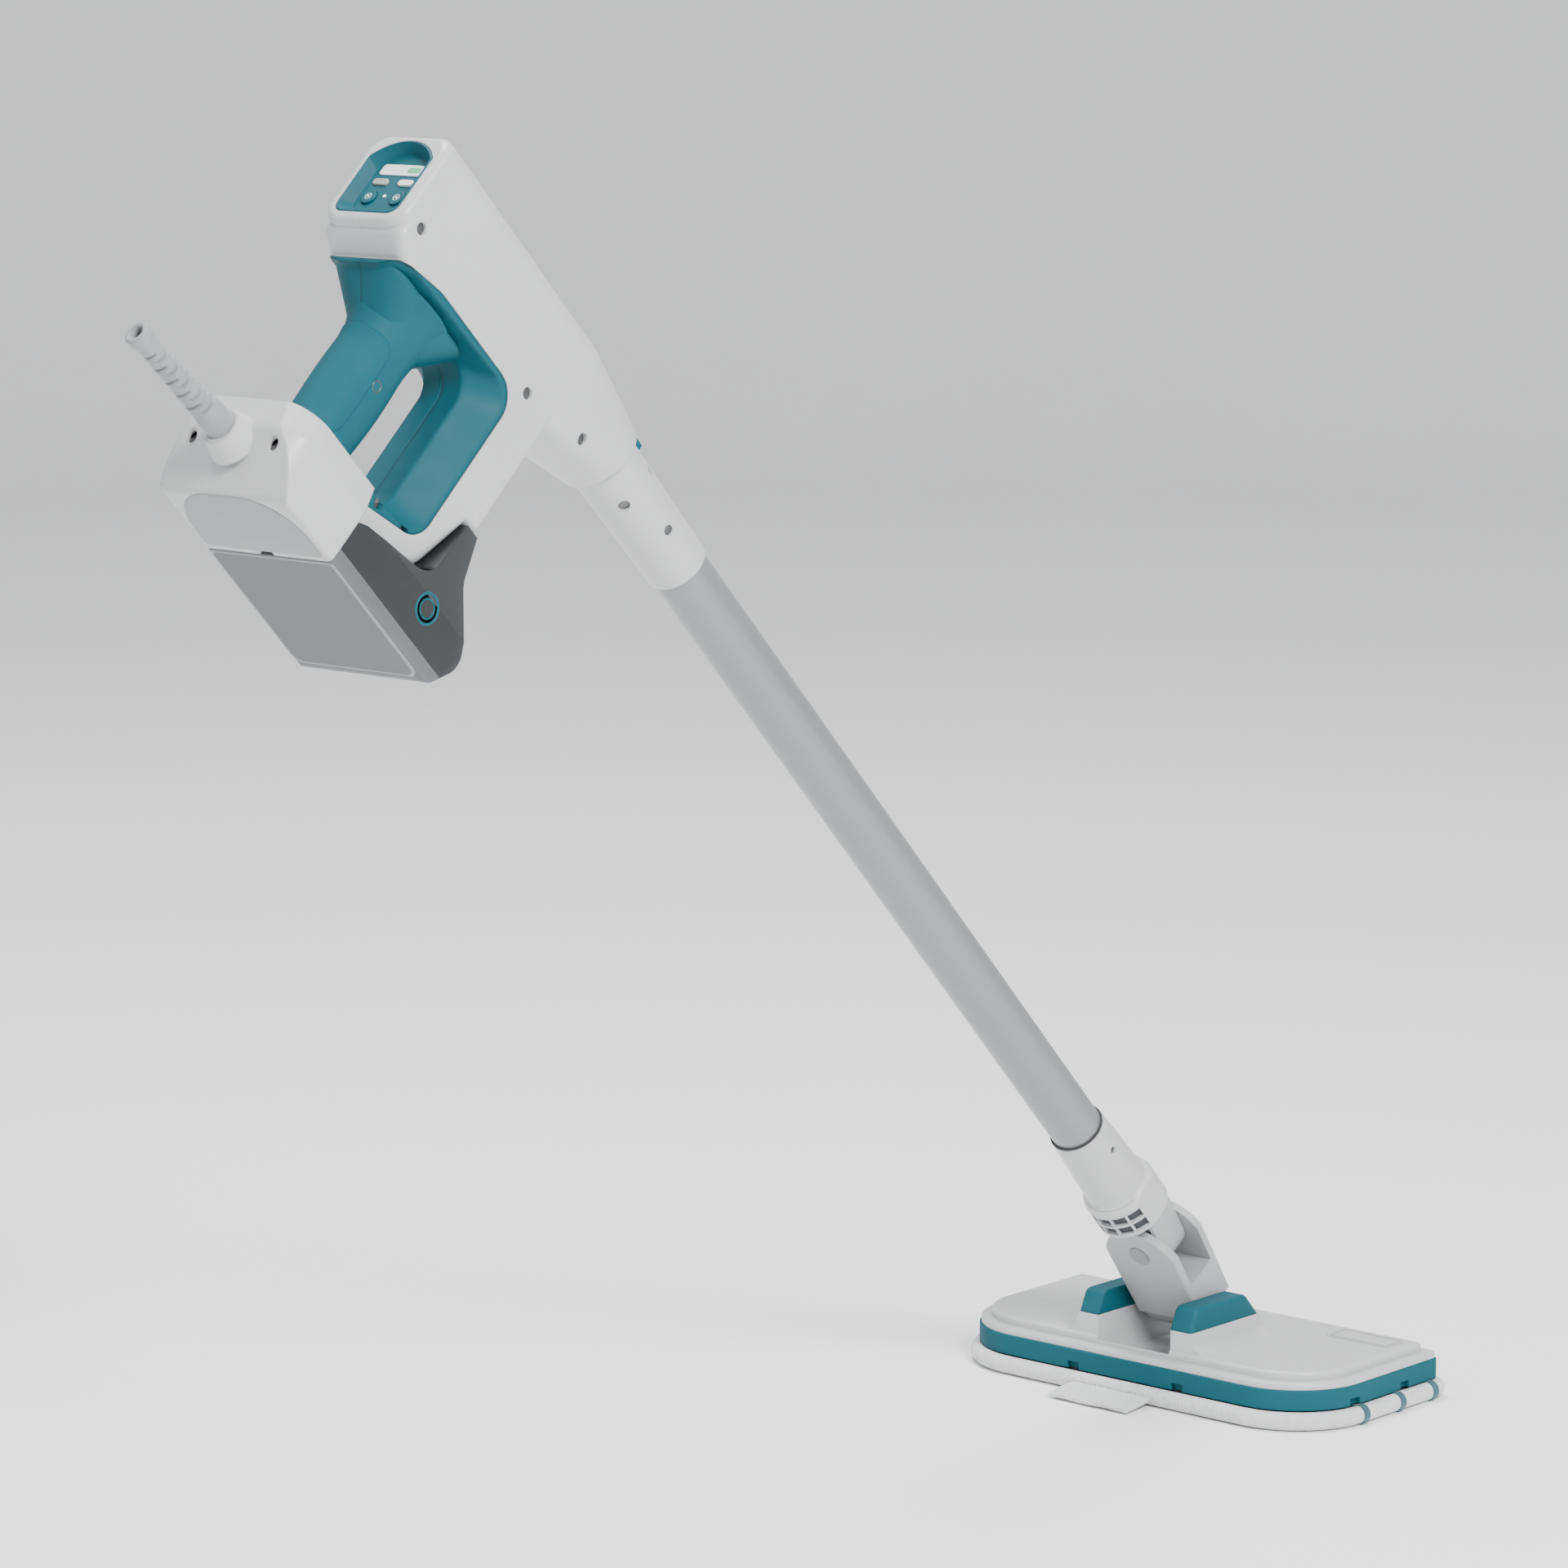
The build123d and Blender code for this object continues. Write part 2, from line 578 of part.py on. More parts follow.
def collar_windows():
    """Two rows of shallow rectangular windows round the user's side of the collar."""
    windows = []
    height = (COLLAR_LENGTH - 16) / 2
    for row in range(2):
        low = COLLAR_START + 6 + row * (height + 2)
        window = block((-4.5, 4.5), (-60, -COLLAR_RADIUS + 2.5), (low, low + height))
        windows += [Rot(0, 0, angle) * window for angle in (-52, -26, 0, 26, 52)]
    return windows


def tube_ring():
    """Dark ring where the tube enters the connector."""
    radius = TUBE_RADIUS + CONNECTOR_WALL_TOP - 0.3
    return pipe(radius, TUBE_RADIUS, (CONNECTOR_END, CONNECTOR_END + SEAL_RING_HEIGHT))


def pole_tube():
    """Aluminium tube."""
    body = pipe(TUBE_RADIUS, TUBE_RADIUS - TUBE_WALL, (TUBE_START, TUBE_END))
    return body - cross_rod(TUBE_SCREW_RADIUS, (-60, 60), 0, TUBE_SCREW_Z)


def tube_screws():
    """Two screws that fix the connector to the tube."""
    reach = TUBE_RADIUS + CONNECTOR_WALL_TOP - 0.5
    right = cross_rod(TUBE_SCREW_RADIUS, (TUBE_RADIUS - TUBE_WALL - 1.5, reach), 0, TUBE_SCREW_Z)
    return [right, mirror(right, Plane.YZ)]


def steam_hose():
    """Hose inside the tube, from the spigot's seat down to the collar."""
    return pipe(HOSE_RADIUS, HOSE_BORE, (COLLAR_START + 8, SPIGOT_SEAT))


def sleeve_screw_places():
    """Angle round the sleeve, distance below its top and radius of each screw recess."""
    return ((43.0, 25.0, 3.4), (80.0, 57.0, 3.0), (126.0, 25.0, 3.0))


def pole_sleeve():
    """White sleeve at the top of the tube: tube socket below, spigot socket above."""
    foot = TUBE_RADIUS + SLEEVE_WALL_FOOT
    body = turned(((0, SLEEVE_START), (foot - 0.8, SLEEVE_START), (foot, SLEEVE_START + 1.2),
                   (SLEEVE_RADIUS, SLEEVE_END), (0, SLEEVE_END)))
    body -= rod(TUBE_RADIUS, (SLEEVE_START - 1, TUBE_END))
    body -= rod(SPIGOT_BORE, (SPIGOT_SEAT, SLEEVE_END + 1))
    body -= rod(HOSE_RADIUS, (SLEEVE_START, SPIGOT_SEAT + 1))
    wide = RELEASE_WIDTH / 2 + 2 * KEY_GAP
    body -= block((-wide, wide), (SPIGOT_BORE + 0.4, 60), (RELEASE_START - 2 * KEY_GAP, RELEASE_END + 2 * KEY_GAP))
    for angle, drop, radius in sleeve_screw_places():
        hole = drop_rod(radius, (-60, -TUBE_RADIUS - 0.7), 0, SLEEVE_END - drop)
        body -= Rot(0, 0, angle) * hole
    return body


def sleeve_screws():
    """Screw heads at the bottom of the sleeve's recesses."""
    screws = []
    for angle, drop, radius in sleeve_screw_places():
        head = drop_rod(radius - RUN_FIT, (-TUBE_RADIUS - 1.5, -TUBE_RADIUS - 0.7), 0, SLEEVE_END - drop)
        screws.append(Rot(0, 0, angle) * head)
    return screws


def release_button():
    """Teal button that frees the pole from the hand unit."""
    wide = RELEASE_WIDTH / 2
    inner = SPIGOT_BORE + 0.8 + RELEASE_TRAVEL
    body = block((-wide, wide), (inner, SLEEVE_RADIUS + RELEASE_RISE), (RELEASE_START, RELEASE_END))
    return fillet(body.faces().sort_by(Axis.Y)[-1].edges(), 1.2)


def nose_spigot():
    """Hollow spigot from the hand unit's nose into the sleeve."""
    bore = SPIGOT_RADIUS - SPIGOT_WALL
    flange = pipe(SPIGOT_RADIUS + 4, bore, (CASE_WALL, CASE_WALL + 2.5))
    stem = pipe(SPIGOT_RADIUS, bore, (-SPIGOT_LENGTH, CASE_WALL))
    return flange + stem - seal_ring(SPIGOT_RADIUS + 1)


def seal_ring(radius):
    """Ring near the spigot's free end."""
    return pipe(radius, SPIGOT_RADIUS - 1.2, (-SPIGOT_LENGTH + 5, -SPIGOT_LENGTH + 7))


# ---------------------------------------------------------------- hand unit casing

def barrel_section(inset):
    """Rounded section of the barrel, square to the pole."""
    top = CASE_TOP - inset
    belly = CASE_BELLY - inset
    return Pos(0, (top - belly) / 2, 0) * RectangleRounded(2 * (CASE_HALF_WIDTH - inset), top + belly,
                                                         CASE_CORNER - inset)


def barrel(inset):
    """Barrel from the round nose to the square back end."""
    nose = Pos(0, 0, inset) * Circle(NOSE_RADIUS - inset)
    section = Pos(0, 0, NOSE_LENGTH) * barrel_section(inset)
    cone = loft([nose, section])
    body = extrude(section, CASE_LENGTH - inset - NOSE_LENGTH, dir=(0, 0, 1))
    back = body.faces().sort_by(Axis.Z)[-1].edges()
    return cone + fillet(back, CASE_BACK_FILLET - inset / 2)


def frame_outline():
    """Side outline of the frame round the handle: arm in front, base below, back behind."""
    points = ((2.0, ARM_FRONT), (DOCK_TOP, ARM_FRONT), (DOCK_TOP, DOCK_STEP), DOCK_VALLEY, DOCK_PEAK,
              (DOCK_PEAK[0] + 3, HOOD_START), (BASE_DROP + 5, HANDLE_REAR - 3),
              (HANDLE_FLOOR, HANDLE_REAR - 3), (CASE_BELLY + 9, HANDLE_REAR - 3),
              (CASE_BELLY + 1, CASE_LENGTH - 5), (2.0, CASE_LENGTH - 5))
    return side_outline(points, (0, 0, 0, 22.0, 6.0, 0, 6.0, 0, 3.0, 6.0, 0))


def handle_outline(grow):
    """Side outline of the teal region: under the barrel, behind the arm and above the base."""
    points = ((HANDLE_TOP - grow, HANDLE_FRONT - grow), (HANDLE_FLOOR + grow, HANDLE_FRONT - grow),
              (BASE_DROP + grow, HANDLE_FRONT + 62), (BASE_DROP + grow, HANDLE_REAR + grow),
              (CASE_BELLY + 10 - grow, HANDLE_REAR + grow), (HANDLE_TOP + 1 - grow, HANDLE_FRONT + 80))
    return side_outline(points, (17.0, 17.0, 30.0, 4.0, 4.0, 40.0))


def ring_slab(inset):
    """Frame round the handle as a rounded slab."""
    body = slab(shrunk(frame_outline(), inset), CASE_HALF_WIDTH - inset)
    return fillet(end_edges(body, Axis.X), RING_FILLET - inset)


def casing():
    """White casing, whole: barrel and frame, hollow, open round the teal liner, with its ribs."""
    body = barrel(0) + ring_slab(0) - (barrel(CASE_WALL) + ring_slab(CASE_WALL))
    for z in (BOILER_START + 12, BOILER_START + BOILER_LENGTH - 16):
        rib = extrude(Pos(0, 0, z) * barrel_section(CASE_WALL - 0.1), RIB, dir=(0, 0, 1))
        body += rib - rod(BOILER_RADIUS, (z - 1, z + RIB + 1))
    half = CASE_HALF_WIDTH - CASE_WALL + 0.1
    for v in (PUMP_TOP + 6, PUMP_TOP + PUMP_LENGTH - 8):
        rib = block((-half, half), (-v - RIB, -v), (ARM_FRONT + 1, HANDLE_FRONT))
        body += rib - pump_block()
    body -= slab(handle_outline(0), CASE_HALF_WIDTH + 5)
    body -= rod(SPIGOT_RADIUS, (-1, CASE_WALL + 0.1))
    body -= panel_opening()
    body -= strip_bed(0)
    return body - water_nipple()


def half_of(whole, side):
    """One half of a part that is split on the middle plane."""
    return whole & block(span(side, 0, 90), (-300, 90), (-90, 400))


def recessed(body, places):
    """Body with a screw recess at each (v, z, depth) place on its right side."""
    for v, z, depth in places:
        body -= cross_rod(SCREW_RADIUS, (depth - SCREW_HEAD, 90), -v, z)
    return body


def screw_heads(places):
    """Screw heads at the bottom of the recesses."""
    return [cross_rod(SCREW_RADIUS - RUN_FIT, (depth - SCREW_HEAD, depth), -v, z) for v, z, depth in places]


def casing_screw_places():
    """v, z and depth of the screws that close the casing."""
    deep = CASE_HALF_WIDTH - CASE_WALL + 0.9
    nose = (20.0, NOSE_LENGTH - 23, deep - 4)
    return ((28.0, CASE_LENGTH - 15, deep), (34.0, HANDLE_FRONT - 5, deep), nose)


def liner_screw_places():
    """v, z and depth of the screws in the liner."""
    return ((100.0, GRIP_CENTRE, GRIP_HALF_WIDTH - 0.6), (148.5, 130.0, CASE_HALF_WIDTH - 4),
            (147.5, 106.0, CASE_HALF_WIDTH - 4))


def panel_face(grow):
    """Plan of the control panel on the barrel's back end: square foot, round top."""
    half = PANEL_HALF_WIDTH + grow
    low = -PANEL_FOOT - grow
    high = PANEL_TOP + grow
    shoulder = high - PANEL_HALF_WIDTH * 0.5
    sides = Polyline((-half, shoulder), (-half, low), (half, low), (half, shoulder))
    crown = ThreePointArc((half, shoulder), (0, high), (-half, shoulder))
    face = make_face(sides + crown).face()
    return round_corners(face, ((-half, low, 0), (half, low, 0)), (7.0, 7.0))


def panel_opening():
    """Opening for the panel tray in the barrel's back end."""
    return extrude(Pos(0, 0, PANEL_FACE - 3) * panel_face(0), 20, dir=(0, 0, 1))


def key_places():
    """Name, x, v and half sizes of each key."""
    x, v, half_x, half_y = BAR_KEY
    round_x, round_v, radius, _ = ROUND_KEY
    return (("mode_key", -x, v, half_x, half_y), ("power_key", x, v, half_x, half_y),
            ("round_key_left", -round_x, round_v, radius, radius),
            ("round_key_right", round_x, round_v, radius, radius))


def key_outline(place, grow):
    """Outline of one key on the panel."""
    name, x, v, half_x, half_y = place
    if half_x == half_y:
        return Pos(x, -v, 0) * Circle(half_x + grow)
    return Pos(x, -v, 0) * RectangleRounded(2 * (half_x + grow), 2 * (half_y + grow), half_y + grow - 0.05)


def panel_key(place):
    """One key of the control panel."""
    cap = extrude(Pos(0, 0, PANEL_FACE - 1.8) * key_outline(place, 0), 3.0, dir=(0, 0, 1))
    return fillet(cap.faces().sort_by(Axis.Z)[-1].edges(), 0.5)


def display_window(shrink):
    """Display window, let into the tray."""
    width, height = DISPLAY_SIZE
    face = Pos(0, -DISPLAY_V, 0) * RectangleRounded(width - shrink, height - shrink, 2.0)
    return extrude(Pos(0, 0, PANEL_FACE - 1.5) * face, 2.0, dir=(0, 0, 1))


def panel_tray():
    """Teal dished panel with openings for the keys and the display."""
    tray = extrude(Pos(0, 0, PANEL_FACE - 2.5) * panel_face(-RUN_FIT), PANEL_DEPTH + 2.9, dir=(0, 0, 1))
    tray = fillet(tray.faces().sort_by(Axis.Z)[-1].edges(), 1.2)
    tray -= loft([Pos(0, 0, PANEL_FACE) * panel_face(-PANEL_RIM),
                  Pos(0, 0, PANEL_FACE + 9) * panel_face(0.4)])
    for place in key_places():
        tray -= extrude(Pos(0, 0, PANEL_FACE - 5) * key_outline(place, KEY_GAP), 10, dir=(0, 0, 1))
    return tray - display_window(0)


def control_board():
    """Circuit board behind the panel."""
    low = PANEL_FACE - 3 - KEY_TRAVEL - 1.6
    half = PANEL_HALF_WIDTH - 2
    return block((-half, half), (-PANEL_FOOT + 3, PANEL_TOP - 6), (low, low + 1.6))


def strip_bed(shrink):
    """Space of the strip along the top of the barrel."""
    wide = STRIP_HALF_WIDTH - shrink
    return block((-wide, wide), (CASE_TOP - STRIP_DEPTH, CASE_TOP + STRIP_RISE),
                 (NOSE_LENGTH + 3 + shrink, CASE_LENGTH - 14 - shrink))


def boiler():
    """Steam boiler along the barrel."""
    body = rod(BOILER_RADIUS, (BOILER_START, BOILER_START + BOILER_LENGTH))
    body = fillet(end_edges(body, Axis.Z), 5.0)
    return body - rod(BOILER_RADIUS - 3, (BOILER_START + 3, BOILER_START + BOILER_LENGTH - 3))


def steam_pipe():
    """Pipe from the boiler to the spigot."""
    return pipe(HOSE_RADIUS, HOSE_BORE, (CASE_WALL + 2.5, BOILER_START))


def pump_block():
    """Space of the pump in the arm."""
    middle = (ARM_FRONT + HANDLE_FRONT) / 2
    along = (middle - PUMP_HALF, middle + PUMP_HALF)
    return block((-PUMP_HALF, PUMP_HALF), (-PUMP_TOP - PUMP_LENGTH, -PUMP_TOP), along)


def pump():
    """Pump body."""
    return fillet(pump_block().edges().filter_by(Axis.Y), 3.0)


def pump_pipe():
    """Pipe from the pump up to the boiler."""
    z = BOILER_START + 4 + WATER_PIPE_RADIUS
    body = drop_rod(WATER_PIPE_RADIUS, (-PUMP_TOP, 0), 0, z)
    return body - rod(BOILER_RADIUS, (0, CASE_LENGTH)) - drop_rod(1.5, (-PUMP_TOP - 1, 0), 0, z)


def water_nipple():
    """Pipe from the dock up to the pump."""
    middle = (ARM_FRONT + HANDLE_FRONT) / 2 + 4
    body = drop_rod(WATER_PIPE_RADIUS, (-DOCK_VALLEY[0], -PUMP_TOP - PUMP_LENGTH), 0, middle)
    return body & slab(frame_outline(), 40)


# ---------------------------------------------------------------- teal liner and grip

def grip_section(inset):
    """Oval section of the grip."""
    return Plane.XZ * (Pos(0, GRIP_CENTRE, 0) * Ellipse(GRIP_HALF_WIDTH - inset, GRIP_HALF_DEPTH - inset))


def grip_bar(low_v, high_v, inset):
    """Oval bar of the grip, square to the pole."""
    return extrude(Pos(0, -low_v, 0) * grip_section(inset), high_v - low_v, dir=(0, -1, 0))


def opening_outline(front, top, floor, round_front):
    """Side outline of the finger opening, left open to the rear."""
    rear = HANDLE_REAR + 60
    points = ((top, front), (floor, front), (floor + 12, rear), (top + 6, rear))
    return side_outline(points, (round_front, round_front, 0, 0))


def liner():
    """Teal liner round the finger opening with the grip behind it, whole."""
    half = CASE_HALF_WIDTH - 0.6
    body = slab(handle_outline(-RUN_FIT), half)
    body -= slab(opening_outline(OPENING_FRONT, OPENING_TOP, OPENING_FLOOR, OPENING_ROUND), 80)
    body -= flare(half) + mirror(flare(half), Plane.YZ)
    pocket = slab(handle_outline(-CASE_WALL), FLARE_START - 1)
    pocket -= slab(opening_outline(OPENING_FRONT - CASE_WALL, OPENING_TOP - CASE_WALL, OPENING_FLOOR + CASE_WALL,
                                   OPENING_ROUND), 80)
    body -= pocket
    root = Plane.XZ * (Pos(0, (HANDLE_REAR + OPENING_FRONT + 16) / 2, 0) * RectangleRounded(52, 78, 16))
    neck = loft([Pos(0, -OPENING_TOP - 1, 0) * root, Pos(0, -OPENING_TOP - GRIP_NECK, 0) * grip_section(0)])
    grip = grip_bar(OPENING_TOP + GRIP_NECK - 4, OPENING_FLOOR + 14, 0)
    body = body + neck + grip
    return body - grip_bar(OPENING_TOP + 4, OPENING_FLOOR + 6, GRIP_WALL)


def flare(half):
    """Cut that opens the finger hole out towards its right side face."""
    near = Pos(FLARE_START, 0, 0) * opening_outline(OPENING_FRONT, OPENING_TOP, OPENING_FLOOR, OPENING_ROUND)
    far = Pos(half + 0.1, 0, 0) * opening_outline(HANDLE_FRONT + 3, HANDLE_TOP + 3, HANDLE_FLOOR + 1, OPENING_ROUND)
    return loft([near, far])


def inlay_space(shrink):
    """Rear side of the grip that the soft inlay covers."""
    skin = grip_bar(INLAY_TOP - 5, INLAY_FLOOR + 5, 0) - grip_bar(INLAY_TOP - 6, INLAY_FLOOR + 6, INLAY_DEPTH)
    return skin & block((-60, 60), (-INLAY_FLOOR + shrink, -INLAY_TOP - shrink), (GRIP_CENTRE + 4 + shrink, 400))


# ---------------------------------------------------------------- hood and tank

def vessel_outline():
    """Side outline that the hood and the tank share."""
    points = ((DOCK_TOP, ARM_FRONT), (143.0, ARM_FRONT - 2), (181.0, ARM_FRONT - 25), (FACE_DROP, ARM_FRONT - 12),
              (FACE_DROP, HANDLE_REAR - 14), (GLAND_V - 6, HANDLE_REAR + 5), (DOCK_TOP, HANDLE_REAR + 5))
    return side_outline(points, (0, 18.0, 12.0, 8.0, 5.0, 10.0, 0))


def vessel_section(v, half, corner, inset):
    """Section of the hood and tank, square to v, round at the rear end."""
    half -= inset
    low = ARM_FRONT - 30
    high = HANDLE_REAR + 6 - inset
    face = make_face(Polyline((-half, low), (half, low), (half, high), (-half, high), close=True)).face()
    corners = ((-half, low, 0), (half, low, 0), (half, high, 0), (-half, high, 0))
    face = round_corners(face, corners, (TANK_CORNER, TANK_CORNER, corner - inset, corner - inset))
    return Pos(0, -v, 0) * (Plane.XZ * face)


def vessel(inset):
    """Outer body that the hood and the tank share, from the arm's foot to the flat face."""
    throat = vessel_section(DOCK_TOP + inset, CASE_HALF_WIDTH, HOOD_CORNER, inset)
    waist = vessel_section(FACE_DROP - HOOD_SHOULDER, HOOD_HALF_WIDTH, HOOD_CORNER, inset)
    block_end = extrude(waist, HOOD_SHOULDER, dir=(0, -1, 0))
    if inset == 0:
        block_end = fillet(block_end.faces().sort_by(Axis.Y)[0].edges(), FACE_FILLET)
    return (loft([throat, waist]) + block_end) & slab(shrunk(vessel_outline(), inset), 80)


def tank_space(inset):
    """Region under the frame's base and in front of the hood, less a gap."""
    far = FACE_DROP + 30
    points = ((DOCK_TOP, ARM_FRONT - 60), (DOCK_TOP, DOCK_STEP), DOCK_VALLEY, DOCK_PEAK,
              (DOCK_PEAK[0] + 3, HOOD_START), (far, HOOD_START), (far, ARM_FRONT - 60))
    return slab(shrunk(side_outline(points, (0, 0, 22.0, 6.0, 0, 0, 0)), inset), 80)


def tank_hood(outside, inside):
    """White hood behind the tank, a closed box round the frame's foot with the gland's socket."""
    far = FACE_DROP + 30
    space = block((-90, 90), (-far, -HOOD_TOP), (HOOD_START, 400))
    room = block((-90, 90), (-far, -HOOD_TOP - CASE_WALL), (HOOD_START + CASE_WALL, 400))
    body = (outside & space) - (inside & room)
    body += gland_boss() - (inside & room)
    body -= slab(frame_outline(), CASE_HALF_WIDTH) + slab(handle_outline(0), CASE_HALF_WIDTH)
    body -= GLAND_FRAME * rod(GLAND_RADIUS, (-40, 80))
    body -= block((-5, 5), (-FACE_DROP - 1, -FACE_DROP + 2), (HOOD_START - 1, HOOD_START + 3))
    for x, v in hood_screw_places():
        body -= Pos(x, -v, 0) * rod(SCREW_RADIUS, (HANDLE_REAR - 2 - SCREW_HEAD, 400))
    return body


GLAND_FRAME = Pos(0, -GLAND_V, GLAND_ROOT) * Rot(GLAND_TILT, 0, 0)


def gland_boss():
    """Cone on the hood's rear wall that the strain relief stands in."""
    return GLAND_FRAME * Pos(0, 0, 14) * Cone(GLAND_RADIUS + 7, GLAND_RADIUS + 2.6, 14)


def hood_screw_places():
    """x and v of the two screws in the hood's rear wall."""
    return ((30.0, GLAND_V + 1), (-30.0, GLAND_V + 1))


def hood_screws():
    """Screw heads at the bottom of the hood's recesses."""
    low = HANDLE_REAR - 2 - SCREW_HEAD
    return [Pos(x, -v, 0) * rod(SCREW_RADIUS - RUN_FIT, (low, low + SCREW_HEAD)) for x, v in hood_screw_places()]


def strain_relief():
    """Flexible sleeve for the cord, with slots cut from both sides and a flanged tip."""
    body = turned(((0, 0), (GLAND_RADIUS, 0), (GLAND_RADIUS, 32), (7.2, 38), (5.6, RELIEF_LENGTH - 9),
                   (6.6, RELIEF_LENGTH - 7), (6.6, RELIEF_LENGTH), (0, RELIEF_LENGTH)))
    body -= rod(CORD_RADIUS, (-1, RELIEF_LENGTH + 1))
    for index in range(7):
        z = 42 + index * 6.4
        for side in (-1, 1):
            slot = block(span(side, CORD_RADIUS - 0.4, 20), (-2.8, 2.8), (z, z + 2.4))
            body -= Rot(0, 0, 90 * (index % 2)) * slot
    return GLAND_FRAME * body


def tank(outside, inside):
    """Water tank, whole: a closed vessel that fills the space under the base."""
    return (outside & tank_space(SEAT_GAP)) - (inside & tank_space(SEAT_GAP + TANK_WALL))


def water_tank(whole):
    """Smoked body of the tank."""
    return whole & block((-90, 90), (-FACE_DROP + TANK_END_DEPTH, 0), (-90, 400))


def tank_end(whole):
    """Frosted end of the tank."""
    return whole & block((-90, 90), (-FACE_DROP - 30, -FACE_DROP + TANK_END_DEPTH), (-90, 400))


FILTER_V = GLAND_V - 2
FILTER_Z = (ARM_FRONT + HOOD_START) / 2 - 27


def filter_cartridge():
    """Scale filter across the tank."""
    return cross_rod(FILTER_RADIUS, (-24, 24), -FILTER_V, FILTER_Z)


def filter_rings():
    """Teal rings on the filter's ends."""
    rings = []
    for side in (-1, 1):
        ring = cross_rod(FILTER_RADIUS + 2.2, span(side, 18, 24), -FILTER_V, FILTER_Z)
        rings.append(ring - cross_rod(FILTER_RADIUS, (-60, 60), -FILTER_V, FILTER_Z))
    return rings


def filter_feet():
    """Foot that holds the filter on the tank's end."""
    reach = FACE_DROP - TANK_WALL
    body = block((-16, 16), (-reach, -FILTER_V), (FILTER_Z - 4, FILTER_Z + 4))
    return body - cross_rod(FILTER_RADIUS, (-60, 60), -FILTER_V, FILTER_Z)


def build_head():
    """Write the pad and the head."""
    save("mop_pad", mop_pad())
    save("pad_tab", pad_tab())
    save("pad_bands", pad_bands())
    save("head_shell", head_shell())
    save("bumper_ring", bumper_ring())
    save("sole_plate", sole_plate())
    save("hook_strips", hook_strips())
    save("head_screws", head_screws())
    save("steam_manifold", steam_manifold())
    save("badge_plate", badge_plate())
    save("hinge_pins", hinge_pins())
    save("saddle_cap_right", saddle_cap())
    save("saddle_cap_left", mirror(saddle_cap(), Plane.YZ))
    save("yoke", yoke(), YOKE_FRAME)
    save("pivot_pin", pivot_pin(), PIVOT_FRAME)
    save("pivot_caps", pivot_caps(), PIVOT_FRAME)


def build_pole():
    """Write the pole and what is on it."""
    save("lower_connector", lower_connector(), POLE_FRAME)
    save("neck_tongue", neck_tongue(), PIVOT_FRAME)
    save("tube_ring", tube_ring(), POLE_FRAME)
    save("pole_tube", pole_tube(), POLE_FRAME)
    save("tube_screws", tube_screws(), POLE_FRAME)
    save("steam_hose", steam_hose(), POLE_FRAME)
    save("pole_sleeve", pole_sleeve(), POLE_FRAME)
    save("sleeve_screws", sleeve_screws(), POLE_FRAME)
    save("release_button", release_button(), POLE_FRAME)


def build_hand_unit():
    """Write the hand unit."""
    whole = casing()
    save("casing_right", recessed(half_of(whole, 1), casing_screw_places()), HAND_FRAME)
    save("casing_left", half_of(whole, -1), HAND_FRAME)
    save("casing_screws", screw_heads(casing_screw_places()), HAND_FRAME)
    save("nose_spigot", nose_spigot(), HAND_FRAME)
    save("spigot_seal", seal_ring(SPIGOT_RADIUS - 0.1), HAND_FRAME)
    save("panel_tray", panel_tray(), HAND_FRAME)
    save("display_window", display_window(2 * RUN_FIT), HAND_FRAME)
    for place in key_places():
        save(place[0], panel_key(place), HAND_FRAME)
    save("control_board", control_board(), HAND_FRAME)
    save("top_strip", strip_bed(RUN_FIT), HAND_FRAME)
    save("boiler", boiler(), HAND_FRAME)
    save("steam_pipe", steam_pipe(), HAND_FRAME)
    save("pump", pump(), HAND_FRAME)
    save("pump_pipe", pump_pipe(), HAND_FRAME)
    save("water_pipe", water_nipple(), HAND_FRAME)
    teal = liner() - inlay_space(0)
    save("liner_right", recessed(half_of(teal, 1), liner_screw_places()), HAND_FRAME)
    save("liner_left", half_of(teal, -1), HAND_FRAME)
    save("liner_screws", screw_heads(liner_screw_places()), HAND_FRAME)
    save("grip_inlay", inlay_space(RUN_FIT), HAND_FRAME)


def build_tank():
    """Write the hood, the strain relief and the tank."""
    outside = vessel(0)
    save("tank_hood", tank_hood(outside, vessel(CASE_WALL)), HAND_FRAME)
    save("hood_screws", hood_screws(), HAND_FRAME)
    save("strain_relief", strain_relief(), HAND_FRAME)
    whole = tank(outside, vessel(TANK_WALL))
    save("water_tank", water_tank(whole), HAND_FRAME)
    save("tank_end", tank_end(whole), HAND_FRAME)
    save("filter_cartridge", filter_cartridge(), HAND_FRAME)
    save("filter_rings", filter_rings(), HAND_FRAME)
    save("filter_foot", filter_feet(), HAND_FRAME)


build_head()
build_pole()
build_hand_unit()
build_tank()
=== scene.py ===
import json
import math

